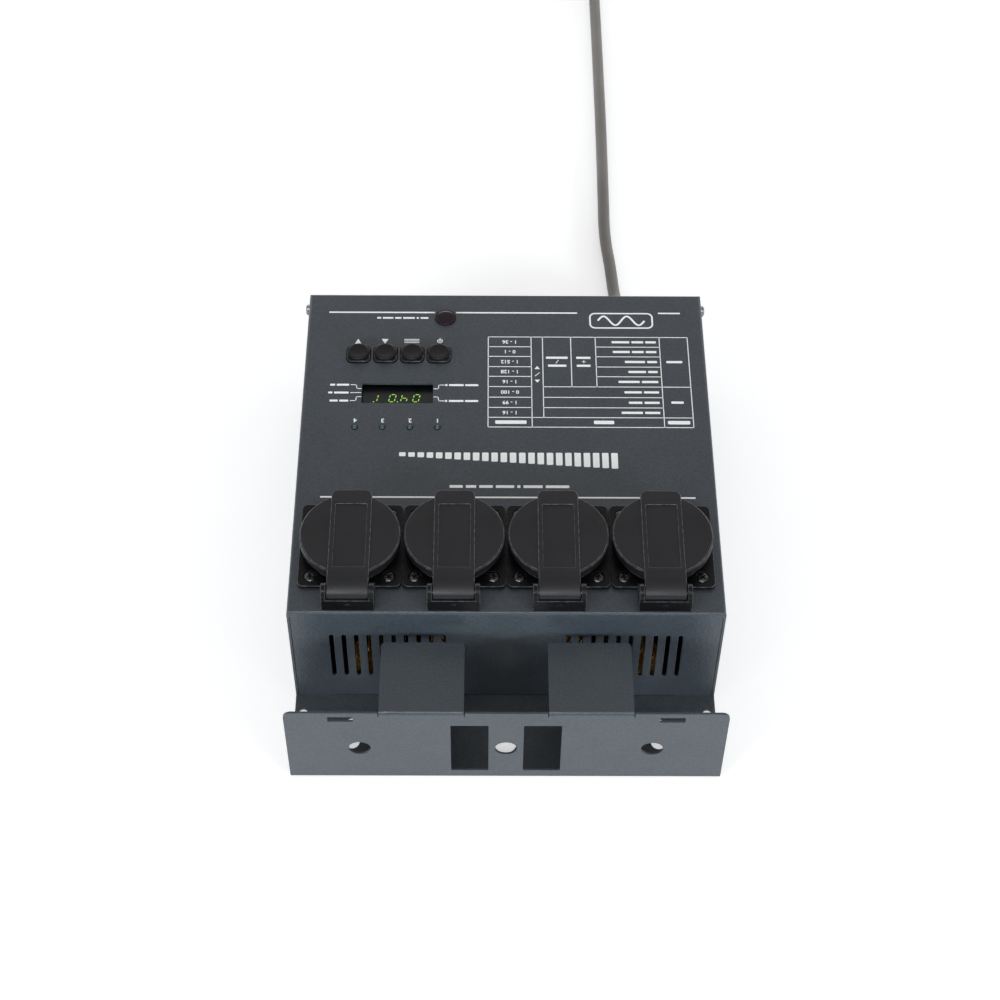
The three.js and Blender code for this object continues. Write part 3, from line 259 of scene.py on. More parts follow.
def coil_points():
    """The coil's two layers, and the rise from its last turn to the plug."""
    points = [(60.5, 522.0, LYING)]
    for i in range(COIL_STEPS + 1):
        turned = i / COIL_STEPS * COIL_TURNS
        past = turned - COIL_TURNS / 2
        height = LYING + COIL_RISE * smooth_step(2 * past + 0.5)
        points.append((*polar(COIL_WAIST + COIL_SPREAD * abs(past), tau * turned, COIL_X, COIL_Y), height))
    high = LYING + COIL_RISE
    for i in range(1, 5):
        points.append((COIL_X - 12 * i, COIL_Y + COIL_RADIUS, high + smooth_step(i / 4) * (PLUG_AXIS - high)))
    return [*points, (COIL_X - 55, COIL_Y + COIL_RADIUS, PLUG_AXIS)]


def catmull(points, per_step):
    """A centripetal curve through the points."""
    vectors = [Vector(p) for p in points]
    vectors = [vectors[0] * 2 - vectors[1], *vectors, vectors[-1] * 2 - vectors[-2]]
    out = []
    for i in range(1, len(vectors) - 2):
        p = vectors[i - 1:i + 3]
        knots = [0.0]
        for a, b in zip(p, p[1:]):
            knots.append(knots[-1] + (b - a).length ** 0.5)
        for j in range(per_step):
            t = knots[1] + (knots[2] - knots[1]) * j / per_step
            level = p
            for spans in (zip(knots, knots[1:]), zip(knots, knots[2:]), [knots[1:3]]):
                level = [
                    a * ((end - t) / (end - start)) + b * ((t - start) / (end - start))
                    for a, b, (start, end) in zip(level, level[1:], spans)
                ]
            out += level
    return [*out, vectors[-2]]


curve = bpy.data.curves.new("mains_lead", "CURVE")
given(curve, dimensions="3D", bevel_depth=CORD / 2 * MM, bevel_resolution=6, use_fill_caps=True)
spline = curve.splines.new("POLY")
line = catmull(ROUTE + coil_points(), 4)
spline.points.add(len(line) - 1)
for point, place in zip(spline.points, line):
    point.co = (*(c * MM for c in place), 1)
spline.use_smooth = True
curve.materials.append(rubber)
cord = shown("mains_lead", curve)
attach(cord, "pack")
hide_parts("mains_cord", "cord_coil")


# Shapes, in millimetres


def circle(radius, steps=48, x=0.0, y=0.0, phase=0.0):
    return [polar(radius, phase + tau * i / steps, x, y) for i in range(steps)]


def arc(radius, start, end, steps, x=0.0, y=0.0):
    """Points from one angle to another, in degrees, with both ends."""
    return [polar(radius, radians(start + (end - start) * i / steps), x, y) for i in range(steps + 1)]


def rounded(points, closed=True, steps=5):
    """A polyline whose corners are rounded. Each point is (x, y) or (x, y, radius)."""
    out = []
    count = len(points)
    for i, point in enumerate(points):
        here = Vector(point[:2])
        radius = point[2] if len(point) > 2 else 0
        before = (here - Vector(points[i - 1][:2])).normalized()
        after = (Vector(points[(i + 1) % count][:2]) - here).normalized()
        angle = acos(max(-1, min(1, before.dot(after))))
        if radius <= 0 or angle < 1e-4 or (not closed and i in (0, count - 1)):
            out.append(tuple(here))
            continue
        side = 1 if before.x * after.y - before.y * after.x > 0 else -1
        start = here - before * radius * tan(angle / 2)
        middle = start + Vector((-before.y, before.x)) * side * radius
        spoke = start - middle
        for j in range(steps + 1):
            a = side * angle * j / steps
            out.append((
                middle.x + spoke.x * cos(a) - spoke.y * sin(a),
                middle.y + spoke.x * sin(a) + spoke.y * cos(a),
            ))
    return out


def box_ring(x0, x1, y0, y1, radius=0.0, steps=5):
    return rounded([(x0, y0, radius), (x1, y0, radius), (x1, y1, radius), (x0, y1, radius)], steps=steps)


def tongue(x0, x1, y0, y1, radius, steps=5):
    """A rectangle rounded at its far end."""
    return rounded([(x0, y0), (x1, y0), (x1, y1, radius), (x0, y1, radius)], steps=steps)


def slot_ring(x, y, width, length, steps=12):
    return box_ring(x - width / 2, x + width / 2, y - length / 2, y + length / 2, width / 2 - 0.001, steps)


def outward(ring, distance):
    """The ring moved out from its inside by a distance, or in by a negative one."""
    area = sum(a[0] * b[1] - b[0] * a[1] for a, b in zip(ring, ring[1:] + ring[:1]))
    side = 1 if area > 0 else -1
    out = []
    for i, point in enumerate(ring):
        here = Vector(point)
        before = (here - Vector(ring[i - 1])).normalized()
        after = (Vector(ring[(i + 1) % len(ring)]) - here).normalized()
        first, second = (Vector((way.y, -way.x)) * side for way in (before, after))
        middle = first + second
        if middle.length < 1e-6:
            middle = first.copy()
        middle.normalize()
        out.append(tuple(here + middle * distance / max(0.3, middle.dot(first))))
    return out


def skin(rows, n, columns=None, loop=False):
    """Faces between rows of n points each; columns picks their stretches."""
    return [
        (i * n + j, i * n + (j + 1) % n, k * n + (j + 1) % n, k * n + j)
        for i, k in zip(range(rows), [*range(1, rows), 0][:rows if loop else rows - 1])
        for j in (range(n) if columns is None else columns)
    ]


def eased_levels(low, high, ease):
    """(inset, level) pairs from the foot to the top of a wall with eased edges."""
    if not ease:
        return [(0, low), (0, high)]
    bend = [(ease * (1 - sin(a)), ease * (1 - cos(a))) for a in (0, 0.5, 1.05, pi / 2)]
    return [(i, low + d) for i, d in bend] + [(i, high - d) for i, d in reversed(bend)]


# Frames for flat work: local X, Y and Z to the pack's axes
FLAT = Matrix.Identity(4)
FRONT = Matrix(((1, 0, 0, 0), (0, 0, -1, 0), (0, 1, 0, 0), (0, 0, 0, 1)))
BACK = Matrix(((-1, 0, 0, 0), (0, 0, 1, 0), (0, 1, 0, 0), (0, 0, 0, 1)))
EDGEWISE = Matrix(((0, 0, 1, 0), (1, 0, 0, 0), (0, 1, 0, 0), (0, 0, 0, 1)))

WELD, SLIVER = 0.000002, 0.0000005  # metres: points that join, and faces that go
CRISP = 1.2  # radians: an edge that build() eases
THIN_FACE = 0.0003  # metres: the width of a face that counts as an eased edge


class Shape:
    """A mesh under construction. Points go through the placing matrix at."""

    def __init__(self, finish):
        self.points, self.faces, self.marks, self.finishes = [], [], [], [finish]
        self.flats = set()
        self.at = FLAT
        self.mesh = None

    def add(self, points, faces, finish=None):
        if finish is not None and finish not in self.finishes:
            self.finishes.append(finish)
        mark = self.finishes.index(finish) if finish is not None else 0
        start = len(self.points)
        self.points += [self.at @ Vector(p) for p in points]
        self.faces += [tuple(start + i for i in face) for face in faces]
        self.marks += [mark] * len(faces)
        return self

    def loft(self, rings, finish=None, caps=True, loop=False):
        """A skin over rings of as many points each."""
        n, rows = len(rings[0]), len(rings)
        faces = skin(rows, n, loop=loop)
        if caps and not loop:
            faces += [tuple(range(n)), tuple(range((rows - 1) * n, rows * n))]
        return self.add([p for ring in rings for p in ring], faces, finish)

    def lathe(self, profile, finish=None, steps=64, loop=False, bend=4):
        """A profile of (radius, height) or (radius, height, rounding), turned about Z."""
        rings = [[(x, y, h) for x, y in circle(r, steps)] for r, h in rounded(profile, loop, bend)]
        return self.loft(rings, finish, caps=False, loop=loop)

    def rod(self, start, end, radius, finish=None, steps=24, ease=0.0):
        """A round rod between two points, its ends eased."""
        start, end = Vector(start), Vector(end)
        kept = self.at
        length = (end - start).length
        self.at = kept @ Matrix.Translation(start) @ (end - start).to_track_quat("Z", "Y").to_matrix().to_4x4()
        self.lathe([(0, 0), (radius, 0, ease), (radius, length, ease), (0, length)], finish, steps)
        self.at = kept
        return self

    def block(self, x, y, z, ease=0.0, finish=None, corner=0.0):
        """A box whose edges along Z have a corner radius and whose top and foot are eased."""
        outline = box_ring(*x, *y, max(corner, ease), 4)
        return self.loft([
            [(*p, level) for p in outward(outline, -inset)] for inset, level in eased_levels(*z, ease)
        ], finish)

    def flat(self, rings, level, finish=None):
        """One flat face with holes."""
        loops = [[Vector((x, y, level)) for x, y in ring] for ring in rings]
        start = len(self.faces)
        self.add([p for ring in loops for p in ring], tessellate_polygon(loops), finish)
        self.flats.update(range(start, len(self.faces)))
        return self

    def slab(self, rings, low, high, finish=None):
        """A thin solid with upright sides."""
        self.flat(rings, high, finish).flat(rings, low, finish)
        for ring in rings:
            self.wall(ring, [(0, low), (0, high)], finish)
        return self

    def wall(self, ring, levels, finish=None, keep=None):
        """A wall over a ring through (outward offset, level) pairs; keep picks its stretches."""
        n = len(ring)
        points = [(*p, level) for offset, level in levels for p in (outward(ring, offset) if offset else ring)]
        columns = [j for j in range(n) if keep is None or keep(ring[j], ring[(j + 1) % n])]
        return self.add(points, skin(len(levels), n, columns), finish)

    def sheet(self, outer, low, high, holes=(), pockets=(), rim=0.15, edge=0.0, keep=None, finish=None):
        """A flat plate with eased holes and pockets; keep picks the stretches of its outline that get a wall."""
        top, foot = [], []
        drops = [(rim * (1 - sin(a)), rim * (1 - cos(a))) for a in (0, pi / 4, pi / 2)]
        for ring in holes:
            top.append(outward(ring, rim))
            foot.append(top[-1])
            levels = [(offset, high - drop) for offset, drop in drops]
            self.wall(ring, levels + [(offset, low + drop) for offset, drop in reversed(drops)], finish)
        for ring, depth in pockets:
            top.append(outward(ring, rim))
            self.wall(ring, [(rim, high), (rim * 0.3, high - rim * 0.3), (0, high - rim), (0, high - depth)], finish)
            self.flat([ring], high - depth, finish)
        outline = outward(outer, -edge) if edge else outer
        self.flat([outline, *top], high, finish)
        self.flat([outline, *foot], low, finish)
        return self.wall(outer, [(-inset, level) for inset, level in eased_levels(low, high, edge)], finish, keep)

    def fold(self, start, end, first, second, mitred=False, steps=8):
        """A quarter bend of the steel; mitred moves its ends out as the bend goes round."""
        start, end, first, second = (Vector(v) for v in (start, end, first, second))
        along = (end - start).normalized() * mitred
        points = []
        for i in range(steps + 1):
            a = pi / 2 * i / steps
            spoke = first * cos(a) + second * sin(a)
            for radius, order in ((BEND, 1), (BEND_IN, -1)):
                reach = along * radius * sin(a)
                points += [place + spoke * radius for place in (start - reach, end + reach)[::order]]
        return self.add(points, skin(steps + 1, 4, (0, 2) if mitred else None))

    def finished(self, name, sharp, ease):
        """The mesh in metres, its sharp edges eased and marked, its exposed ones flagged for lighter edges: worn
        paint on the steel, painted highlights on plastics and screws.
        """
        mesh = bpy.data.meshes.new(name)
        mesh.from_pydata([tuple(p * MM for p in point) for point in self.points], [], self.faces)
        mesh.polygons.foreach_set("material_index", self.marks)
        for finish in self.finishes:
            mesh.materials.append(finish)
        bm = bmesh.new()
        bm.from_mesh(mesh)
        rubbed_and_shining_edges = bm.verts.layers.float.new("rubbed_and_shining_edges")
        level = bm.faces.layers.int.new("level")
        for face in bm.faces:
            face[level] = face.index in self.flats
        bmesh.ops.remove_doubles(bm, verts=bm.verts, dist=WELD)
        bmesh.ops.dissolve_degenerate(bm, edges=bm.edges, dist=SLIVER)
        bmesh.ops.recalc_face_normals(bm, faces=bm.faces)
        bevelled = set()
        if ease:
            crisp = [e for e in bm.edges if len(e.link_faces) == 2 and e.calc_face_angle(0) > CRISP]
            bevelled = set(bmesh.ops.bevel(
                bm, geom=crisp, offset=ease * MM, offset_type="OFFSET", segments=2, profile=0.6,
                affect="EDGES", clamp_overlap=True,
            )["faces"])
        narrow = {
            f: not f[level] and f.calc_area() < THIN_FACE * max(e.calc_length() for e in f.edges) for f in bm.faces
        }
        # Exposed edges, which the finishes paint lighter: worn paint on the steel, painted highlights on the plastics
        # and screws.
        for v in bm.verts:
            turn = max((e.calc_face_angle_signed(0) for e in v.link_edges if len(e.link_faces) == 2), default=0)
            v[rubbed_and_shining_edges] = float(turn > 0.17 and all(f in bevelled if ease else narrow[f] for f in v.link_faces))
        for f in bm.faces:
            f.smooth = True
        for e in bm.edges:
            e.smooth = len(e.link_faces) == 2 and e.calc_face_angle(0) < radians(sharp)
        bm.to_mesh(mesh)
        bm.free()
        return mesh

    def build(self, name, replaces=(), body="pack", sharp=38, ease=0.0, place=FLAT):
        """An object riding on its body, of its first finish's slot. Later ones share the first one's mesh."""
        if self.mesh is None:
            self.mesh = self.finished(name, sharp, ease)
        obj = shown(name, self.mesh)
        obj.matrix_world = place
        given(obj.modifiers.new("normals", "WEIGHTED_NORMAL"), keep_sharp=True, weight=100)
        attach(obj, body)
        if replaces:
            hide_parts(*replaces)
        return obj


def spin(degrees, axis="Z"):
    return Matrix.Rotation(radians(degrees), 4, axis)


def at(x, y, z, turn=0.0, axis="Z"):
    """A placing matrix in metres, from millimetres and degrees."""
    return Matrix.Translation((x * MM, y * MM, z * MM)) @ spin(turn, axis)


# Cover and tray


def case_cover():
    shape = Shape(paint)
    inner, wall_top = HALF - SHEET, TOP - BEND
    holes = [circle(4.85, 32, *LENS), box_ring(-74.425, -37.625, 41.3, 54.8, 0.6)]
    for x in COLUMNS:
        holes += [box_ring(x - 6.45, x + 6.45, 68.85, 81.75, 3.3), circle(1.75, 24, x, LED_ROW)]
    for x in SOCKETS:
        holes.append(circle(21.8, 64, x, ROW))
        holes += [circle(1.8, 16, x + i, ROW + j) for i in SCREWS for j in SCREWS]
    panel = (-HALF + BEND, HALF - BEND, NEAR + BEND, FAR - BEND)
    shape.sheet(box_ring(*panel), TOP - SHEET, TOP, holes, rim=0.12, keep=lambda a, b: False)
    left, right, near, far = panel
    for start, end, way in (
        ((left, near), (right, near), (0, -1, 0)), ((left, far), (right, far), (0, 1, 0)),
        ((left, near), (left, far), (-1, 0, 0)), ((right, near), (right, far), (1, 0, 0)),
    ):
        shape.fold((*start, wall_top), (*end, wall_top), (0, 0, 1), way, mitred=True)

    shape.at = FRONT
    notch = TOP - BEND - 1.8
    half = [(85, 1.7), (85, SHEET), (HALF - 1.5, SHEET), (HALF - 1.5, notch), (inner, notch)]
    outer = [*half, (inner, SHEET), (HALF, SHEET), (HALF, wall_top)]
    outer += [(-x, z) for x, z in reversed(outer)]
    inside = [*half, (inner, wall_top)]
    inside += [(-x, z) for x, z in reversed(inside)]
    vents = [slot_ring(s * (30.3 + 6.03 * i), 36, 2.2, 35) for s in (-1, 1) for i in range(10)]
    rim = 0.12
    wide = [outward(ring, rim) for ring in vents]
    front, back = -NEAR, -NEAR - SHEET
    shape.flat([outer, *wide], front)
    shape.flat([inside, *wide], back)
    for ring in vents:
        shape.wall(ring, [(rim, front), (0, front - rim), (0, back + rim), (rim, back)])
    shape.wall(outer, [(0, back), (0, front)], keep=lambda a, b: max(abs(a[0]), abs(b[0])) < HALF - 1)

    lip = 64
    end = [(-HALF, SHEET), (-inner, SHEET), (-inner, lip), (inner, lip), (inner, SHEET), (HALF, SHEET)]
    shape.flat([[*end, (HALF, wall_top), (-HALF, wall_top)]], -FAR)
    shape.flat([box_ring(-inner, inner, lip, wall_top)], SHEET - FAR)
    shape.at = FLAT
    back = FAR - SHEET
    shape.add([(-inner, back, lip), (inner, back, lip), (inner, FAR, lip), (-inner, FAR, lip)], [(0, 1, 2, 3)])
    inside = [
        (NEAR, SHEET), (FAR, SHEET), (FAR, lip), (back, lip), (back, wall_top), (NEAR + SHEET, wall_top),
        (NEAR + SHEET, notch), (NEAR, notch),
    ]
    hole = circle(1.8, 16, *SIDE_SCREW)
    for s in (-1, 1):
        shape.at = EDGEWISE
        shape.flat([box_ring(NEAR, FAR, SHEET, wall_top), hole], s * HALF)
        shape.flat([inside, hole], s * inner)
        shape.wall(hole, [(0, s * inner), (0, s * HALF)])
        shape.at = FLAT
        shape.add([
            (s * HALF, NEAR, SHEET), (s * inner, NEAR, SHEET), (s * inner, FAR, SHEET), (s * HALF, FAR, SHEET),
        ], [(0, 1, 2, 3)])
    return shape.build("case_cover", ["top_cover"], ease=0.25)


def case_tray():
    shape = Shape(paint)
    shape.at = FRONT
    near, far = PLATE + BEND, TRAY_END - BEND
    under, slit = PLATE_TOP - BEND, PLATE_TOP - 2.8
    right_half = [
        (HALF, BEND), (HALF, PLATE_TOP, 4), (TABS[1] + 0.5, PLATE_TOP), (TABS[1] + 0.5, slit), (TABS[1], slit),
        (TABS[1], under), (TABS[0], under), (TABS[0], slit), (TABS[0] - 0.5, slit), (TABS[0] - 0.5, PLATE_TOP),
    ]
    holes = [circle(5.25, 48, x, 26.5) for x in (-70, 0, 70)]
    holes += [box_ring(s * 17.4 - 9, s * 17.4 + 9, 6.5, 46.5, 0.5) for s in (-1, 1)]
    holes += [box_ring(s * 78.2 - 6, s * 78.2 + 6, 49.9, 53.7, 0.5) for s in (-1, 1)]
    outline = rounded(right_half + [(-p[0], *p[1:]) for p in reversed(right_half)])
    shape.sheet(outline, -PLATE - SHEET, -PLATE, holes)
    wall_holes = [circle(12.1, 32, x, SOCKET_LINE) for _, x in SIGNALS] + [circle(8.1, 24, CONTROL, SOCKET_LINE)]
    wall_holes += [circle(6.6, 24, x, FUSE_LINE) for x in FUSES] + [circle(6.3, 24, *GLAND)]
    end = HALF - 1.5
    shape.sheet(box_ring(-end, end, BEND, TOP - 1.5), -TRAY_END, SHEET - TRAY_END, wall_holes)

    shape.at = FLAT
    foot = [(-HALF, near), (HALF, near), (HALF, far), (end, far), (-end, far), (-HALF, far)]
    foot_holes = [circle(2.15, 24, s * 100.9, -101.5) for s in (-1, 1)] + [circle(5.5, 48, 0, -119.3)]
    foot_holes += [slot_ring(s * 75.8, -113.5, 7.5, 18) for s in (-1, 1)]
    shape.sheet(
        foot, 0, SHEET, foot_holes,
        keep=lambda a, b: a[1] != b[1] or (abs(a[0]) > HALF - 1) != (abs(b[0]) > HALF - 1),
    )
    shape.fold((-HALF, near, BEND), (HALF, near, BEND), (0, -1, 0), (0, 0, -1))
    shape.fold((-end, far, BEND), (end, far, BEND), (0, 0, -1), (0, 1, 0))
    for s in (-1, 1):
        low, high = sorted((s * TABS[0], s * TABS[1]))
        shape.fold((low, near, under), (high, near, under), (0, -1, 0), (0, 0, 1))
        shape.sheet(tongue(low, high, near, -97.5, 2.5), PLATE_TOP - SHEET, PLATE_TOP)
    for s in (-1, 1):
        flange = sorted((s * 102.3, s * 103.45))
        shape.block(flange, (102.5, 116.4), (1.1, 70.4), 0.1)
        shape.block(flange, (-83, 94.5), (1.1, 9.2), 0.1)
    return shape.build("case_tray", ["base_tray"], ease=0.22)


# Screws


def cross_screw(finish, head, height, shank, length, crown):
    """A crowned cross-recess screw, its seat at height 0."""
    shape = Shape(finish)
    reach, width = head * 0.3, head * 0.075
    cross = []
    for k in range(4):
        turn = Matrix.Rotation(-pi / 2 * k, 2)
        cross += [turn @ Vector(p) for p in ((width, width), (reach, width), (reach, -width))]
    outline = [tuple(a.lerp(b, i / 4)) for a, b in zip(cross, cross[1:] + cross[:1]) for i in range(4)][::-1]
    phase = atan2(outline[0][1], outline[0][0])
    rings = []
    for share, level in ((1.0, 0), (1.0, height - crown - 0.25)) + tuple(
        (share, height - crown + crown * (1 - share) / 0.26) for share in (0.985, 0.94, 0.86, 0.74)
    ):
        rings.append([(*p, level) for p in circle(head / 2 * share, len(outline), phase=phase)])
    rings.append([(*p, height) for p in outline])
    rings.append([(*p, height - 0.12) for p in outward(outline, -0.05)])
    rings.append([(x * 0.55, y * 0.55, height - head * 0.26) for x, y in outline])
    shape.loft(rings)
    return shape.rod((0, 0, -length), (0, 0, 0.1), shank / 2, steps=16, ease=0.2)


# Mains sockets


def socket_shape():
    shape = Shape(black_plastic)
    recesses = [(circle(3.2, 32, i, j), 1.3) for j in SCREWS for i in SCREWS]
    shape.sheet(box_ring(-25, 25, -25, 25, 3, 6), 0, 2.2, [circle(21, 72)], recesses, rim=0.2, edge=0.45)
    shape.lathe([
        (20.9, 0.1), (22.3, 0.1), (22.3, 2.6, 0.2), (22, 2.8, 0.2), (22, 9.9, 0.45), (21.2, 9.9, 0.15),
        (21.2, 9.4, 0.15), (20.4, 9.4, 0.3), (19.75, 8.6, 0.2), (19.75, -7.7), (20.9, -7.7),
    ], loop=True, steps=96)
    cup = [(0, -32), (20.5, -32, 1.5), (21.5, -9, 0.4), (21.5, 0.1), (19.9, 0.1), (19.9, -30), (0, -30)]
    shape.lathe(cup, steps=72)
    spacing = 9.5
    contacts = [circle(2.6, 32, s * spacing) for s in (-1, 1)]
    shape.sheet(circle(19.9, 72), -9.4, -7.6, contacts + [circle(1.7, 24, 0, 4.2)], rim=0.5)
    clip = [(19.6, 8.2), (18.9, 8.3), (18.1, 6.6), (17.5, 3.2), (17.8, -1.5), (18.8, -5), (19.4, -7.7)]
    for s in (-1, 1):
        shape.at = Matrix.Translation((s * spacing, 0, 0))
        shape.lathe([(2.7, -8.6), (2.2, -8.8), (2.2, -24), (2.9, -24), (2.9, -8.6)], nickel, steps=32, loop=True)
        shape.lathe([(0, -23.9), (2.7, -23.9), (2.7, -22.9), (0, -22.9)], steps=24)
        shape.at = spin(90 * (1 - s))
        shape.block((18.6, 19.9), (-2.1, 2.1), (-7.7, 6.8), 0.35)
        shape.at = spin(90 * s)
        shape.loft([[(r, -2.6, z), (r, 2.6, z), (r + 0.7, 2.6, z), (r + 0.7, -2.6, z)] for r, z in clip], nickel)
        for cheek in ((-4.2, -3.3), (3.3, 4.2)):
            shape.block((18.9, 20.2), cheek, (-7.7, 9.0), 0.2)
    shape.at = FLAT
    shape.block((-12.6, 12.6), (-37.4, -22.6), (0, 2.5), 0.3, corner=0.6)
    shape.block((-12.68, 12.68), (-37.6, -36.4), (0, 7.7), 0.28)
    shape.block((-1.1, 1.1), (-37.7, -37.3), (3.4, 5.0), 0.12)
    shape.at = EDGEWISE
    ear = [(-28.1, 0), *arc(4.7, 0, 180, 20, *HINGE), (-37.5, 0)]
    for s in (-1, 1):
        shape.sheet(ear, *sorted((s * 10.25, s * 12.65)), [circle(1.15, 24, *HINGE)], rim=0.25, edge=0.35)
    return shape


def lid_shape():
    """Domed disc with its seal, raised strap and hinge knuckle."""
    shape = Shape(lid_plastic)
    shape.lathe([
        (0, 10.2), (22.9, 10.2, 0.3), (23.0, 6.8, 0.2), (24.5, 6.8, 0.25), (24.5, 11.1, 0.3), (23.9, 11.7, 0.35),
        (22.4, 11.7), (0, 11.72),
    ], steps=128)
    seal = [(20.6, 9.3, 0.25), (22.85, 9.3, 0.25), (22.85, 10.25), (20.6, 10.25)]
    shape.lathe(seal, rubber, steps=96, loop=True, bend=3)
    half, grip = 9.95, 9.85
    strap, pocket = tongue(-half, half, -22.2, 26.3, 3.5, 8), box_ring(-7.65, 7.65, -20.6, 17.6, 0.6, 4)
    shape.sheet(strap, 10.3, 12.4, pockets=[(pocket, 0.5)], rim=0.25, edge=0.4)
    shape.sheet(tongue(-grip, grip, 22, 26.2, 3.4, 8), 6.8, 11.8, edge=0.4)
    shape.at = EDGEWISE
    power, count = 1.75, 23
    knuckle = [(-21.6, 12.38)]
    for k in range(1, count + 1):
        along = k / count
        knuckle.append((-25.6 - 10.7 * along, HINGE[1] + 4.38 * (1 - along ** power) ** (1 / power)))
    knuckle += [*arc(3.5, 189, 288, 11, *HINGE), (-28.6, 5.6), (-24.6, 6.6), (-21.6, 6.8)]
    shape.sheet(knuckle, -half, half, [circle(1.3, 24, *HINGE)], rim=0.2, edge=0.35)
    return shape


case_cover()
case_tray()
housing, lid = socket_shape(), lid_shape()
hinge_pin = Shape(steel).rod((-12.75, *HINGE), (12.75, *HINGE), 1.0, ease=0.3)
screw = cross_screw(black_screw, 5.6, 1.5, 3, 6.9, 0.45)
for n, x in enumerate(SOCKETS, 1):
    here = at(x, ROW, TOP)
    housing.build(f"socket_housing_{n}", [f"socket_body_{n}"], sharp=42, place=here)
    lid.build(f"sprung_lid_{n}", [f"socket_lid_{n}"], f"lid_{n}", place=here)
    hinge_pin.build(f"lid_pin_{n}", [f"hinge_pin_{n}"], place=here)
    for k, (j, i) in enumerate(((j, i) for j in SCREWS for i in SCREWS), 1):
        spot = at(x + i, ROW + j, TOP + 0.9, 37 * k + 61 * n)
        screw.build(f"flange_screw_{n}_{k}", [f"socket_{n}_screw_{k}"], place=spot)
screw = cross_screw(steel, 5.8, 2.0, 3, 6, 0.6)
for s, side in ((-1, "left"), (1, "right")):
    screw.build(side + "_case_screw", [side + "_side_screw"], place=at(s * HALF, *SIDE_SCREW, s * 90, "Y"))


# Control panel


def button_shape():
    """Square key with a round dished top."""
    shape = Shape(button_plastic)
    corners = box_ring(-6.15, 6.15, -6.15, 6.15, 3, 10)
    square = []
    for a, b in zip(corners, corners[1:] + corners[:1]):
        parts = max(1, round(dist(a, b) / 0.5))
        square += [(a[0] + (b[0] - a[0]) * t / parts, a[1] + (b[1] - a[1]) * t / parts) for t in range(parts)]
    foot = -3.2
    rings = [[(*p, z) for p in outward(square, -inset)] for inset, z in (
        (0, foot), (0, 0.45), (0.08, 0.72), (0.28, 0.92), (0.55, 1.0),
    )]
    angles = [atan2(y, x) for x, y in square]
    rings += [[(*polar(radius, a), z) for a in angles] for radius, z in (
        (5.86, 1.04), (5.84, 1.3), (5.78, 1.75), (5.62, 2.15), (5.36, 2.43), (5.0, 2.58), (4.6, 2.58), (3.7, 2.46),
        (2.3, 2.34), (0, 2.3),
    )]
    shape.loft(rings, caps=False).flat([square], foot)
    return shape.rod((0, 0, -10.0), (0, 0, -3.1), 3.1, ease=0.3)


button = button_shape()
bulb = [(0, -11.4), (1.9, -11.4), (1.9, -1.5), (1.5, -1.5), *arc(1.5, 0, 90, 8, 0, -0.6)]
led = Shape(green_lamp).lathe(bulb, steps=32)
for n, x, key in zip((4, 3, 2, 1), COLUMNS, ("up", "down", "menu", "mode")):
    button.build(key + "_key", [key + "_button"], key + "_button_cap", place=at(x, KEY_ROW, TOP))
    led.build(f"lamp_{n}", [f"channel_led_{n}"], place=at(x, LED_ROW, TOP))
lens = Shape(lens_finish).lathe([
    (0, -9), (4.7, -9, 0.3), (4.7, 0), (5.65, 0), (5.65, 0.9, 0.35), (4.9, 0.9, 0.1), (4.7, 0.75, 0.1), (4.3, 0.95),
    (3.2, 1.2), (1.7, 1.36), (0, 1.4),
])
nut = [(4.6, -3.5), (6.5, -3.5, 0.3), (6.5, -1.5, 0.3), (4.6, -1.5)]
lens.lathe(nut, black_plastic, steps=6, loop=True, bend=5)
lens.build("remote_lens", ["infrared_sensor"], place=at(*LENS, TOP))


# Display: smoked window with slanted seven-segment digits, read from the far side

# Each segment's side, height and whether it is upright
SEGMENTS = dict(zip("abcdefg", (
    (0, 1, 0), (1, 0.5, 1), (1, -0.5, 1), (0, -1, 0), (-1, -0.5, 1), (-1, 0.5, 1), (0, 0, 0),
)))
DIGITS = {"0": "abcdef", "4": "bcfg", "1": "bc"}
FACE, LIT_FACE, UNLIT_FACE = -4.0, -3.86, -3.88


def segment_ring(name, width=1.5, height=2.45, thick=0.25, slant=0.2):
    sx, sy, upright = SEGMENTS[name]
    length = (height - 0.75 if upright else 2 * width - 0.95) / 2
    ring = [(-length, 0), (-length + thick, thick), (length - thick, thick)]
    ring += [(-x, -y) for x, y in ring]
    if upright:
        ring = [(-y, x) for x, y in ring]
    ring = [(x + sx * width, y + sy * height) for x, y in ring]
    return [(x + slant * y, y) for x, y in ring]


window = Shape(smoked).block((-19.6, 19.6), (-7.95, 7.95), (-11.4, FACE), 0.3)
window.block((-18.35, 18.35), (-6.7, 6.7), (-4.1, -3.9), 0.05)
for k, digit in enumerate("0401"):
    window.at = Matrix.Translation((9.7 - 6.2 * k, 0, 0)) @ spin(180)
    for name in SEGMENTS:
        on = name in DIGITS[digit]
        window.slab([segment_ring(name)], FACE, LIT_FACE if on else UNLIT_FACE, lit if on else unlit)
    window.slab([circle(0.34, 16, 3.5, 2.5)], FACE, LIT_FACE, lit if k in (1, 3) else unlit)
window.build("display_window", ["display"], place=at(-56.025, 48.05, TOP))


# Prints on the panel, read from the far side: lines, signs, plain numerals and short bars for words

INK = (TOP - 0.05, TOP + 0.03)
THIN, FINE = 0.45, 0.4


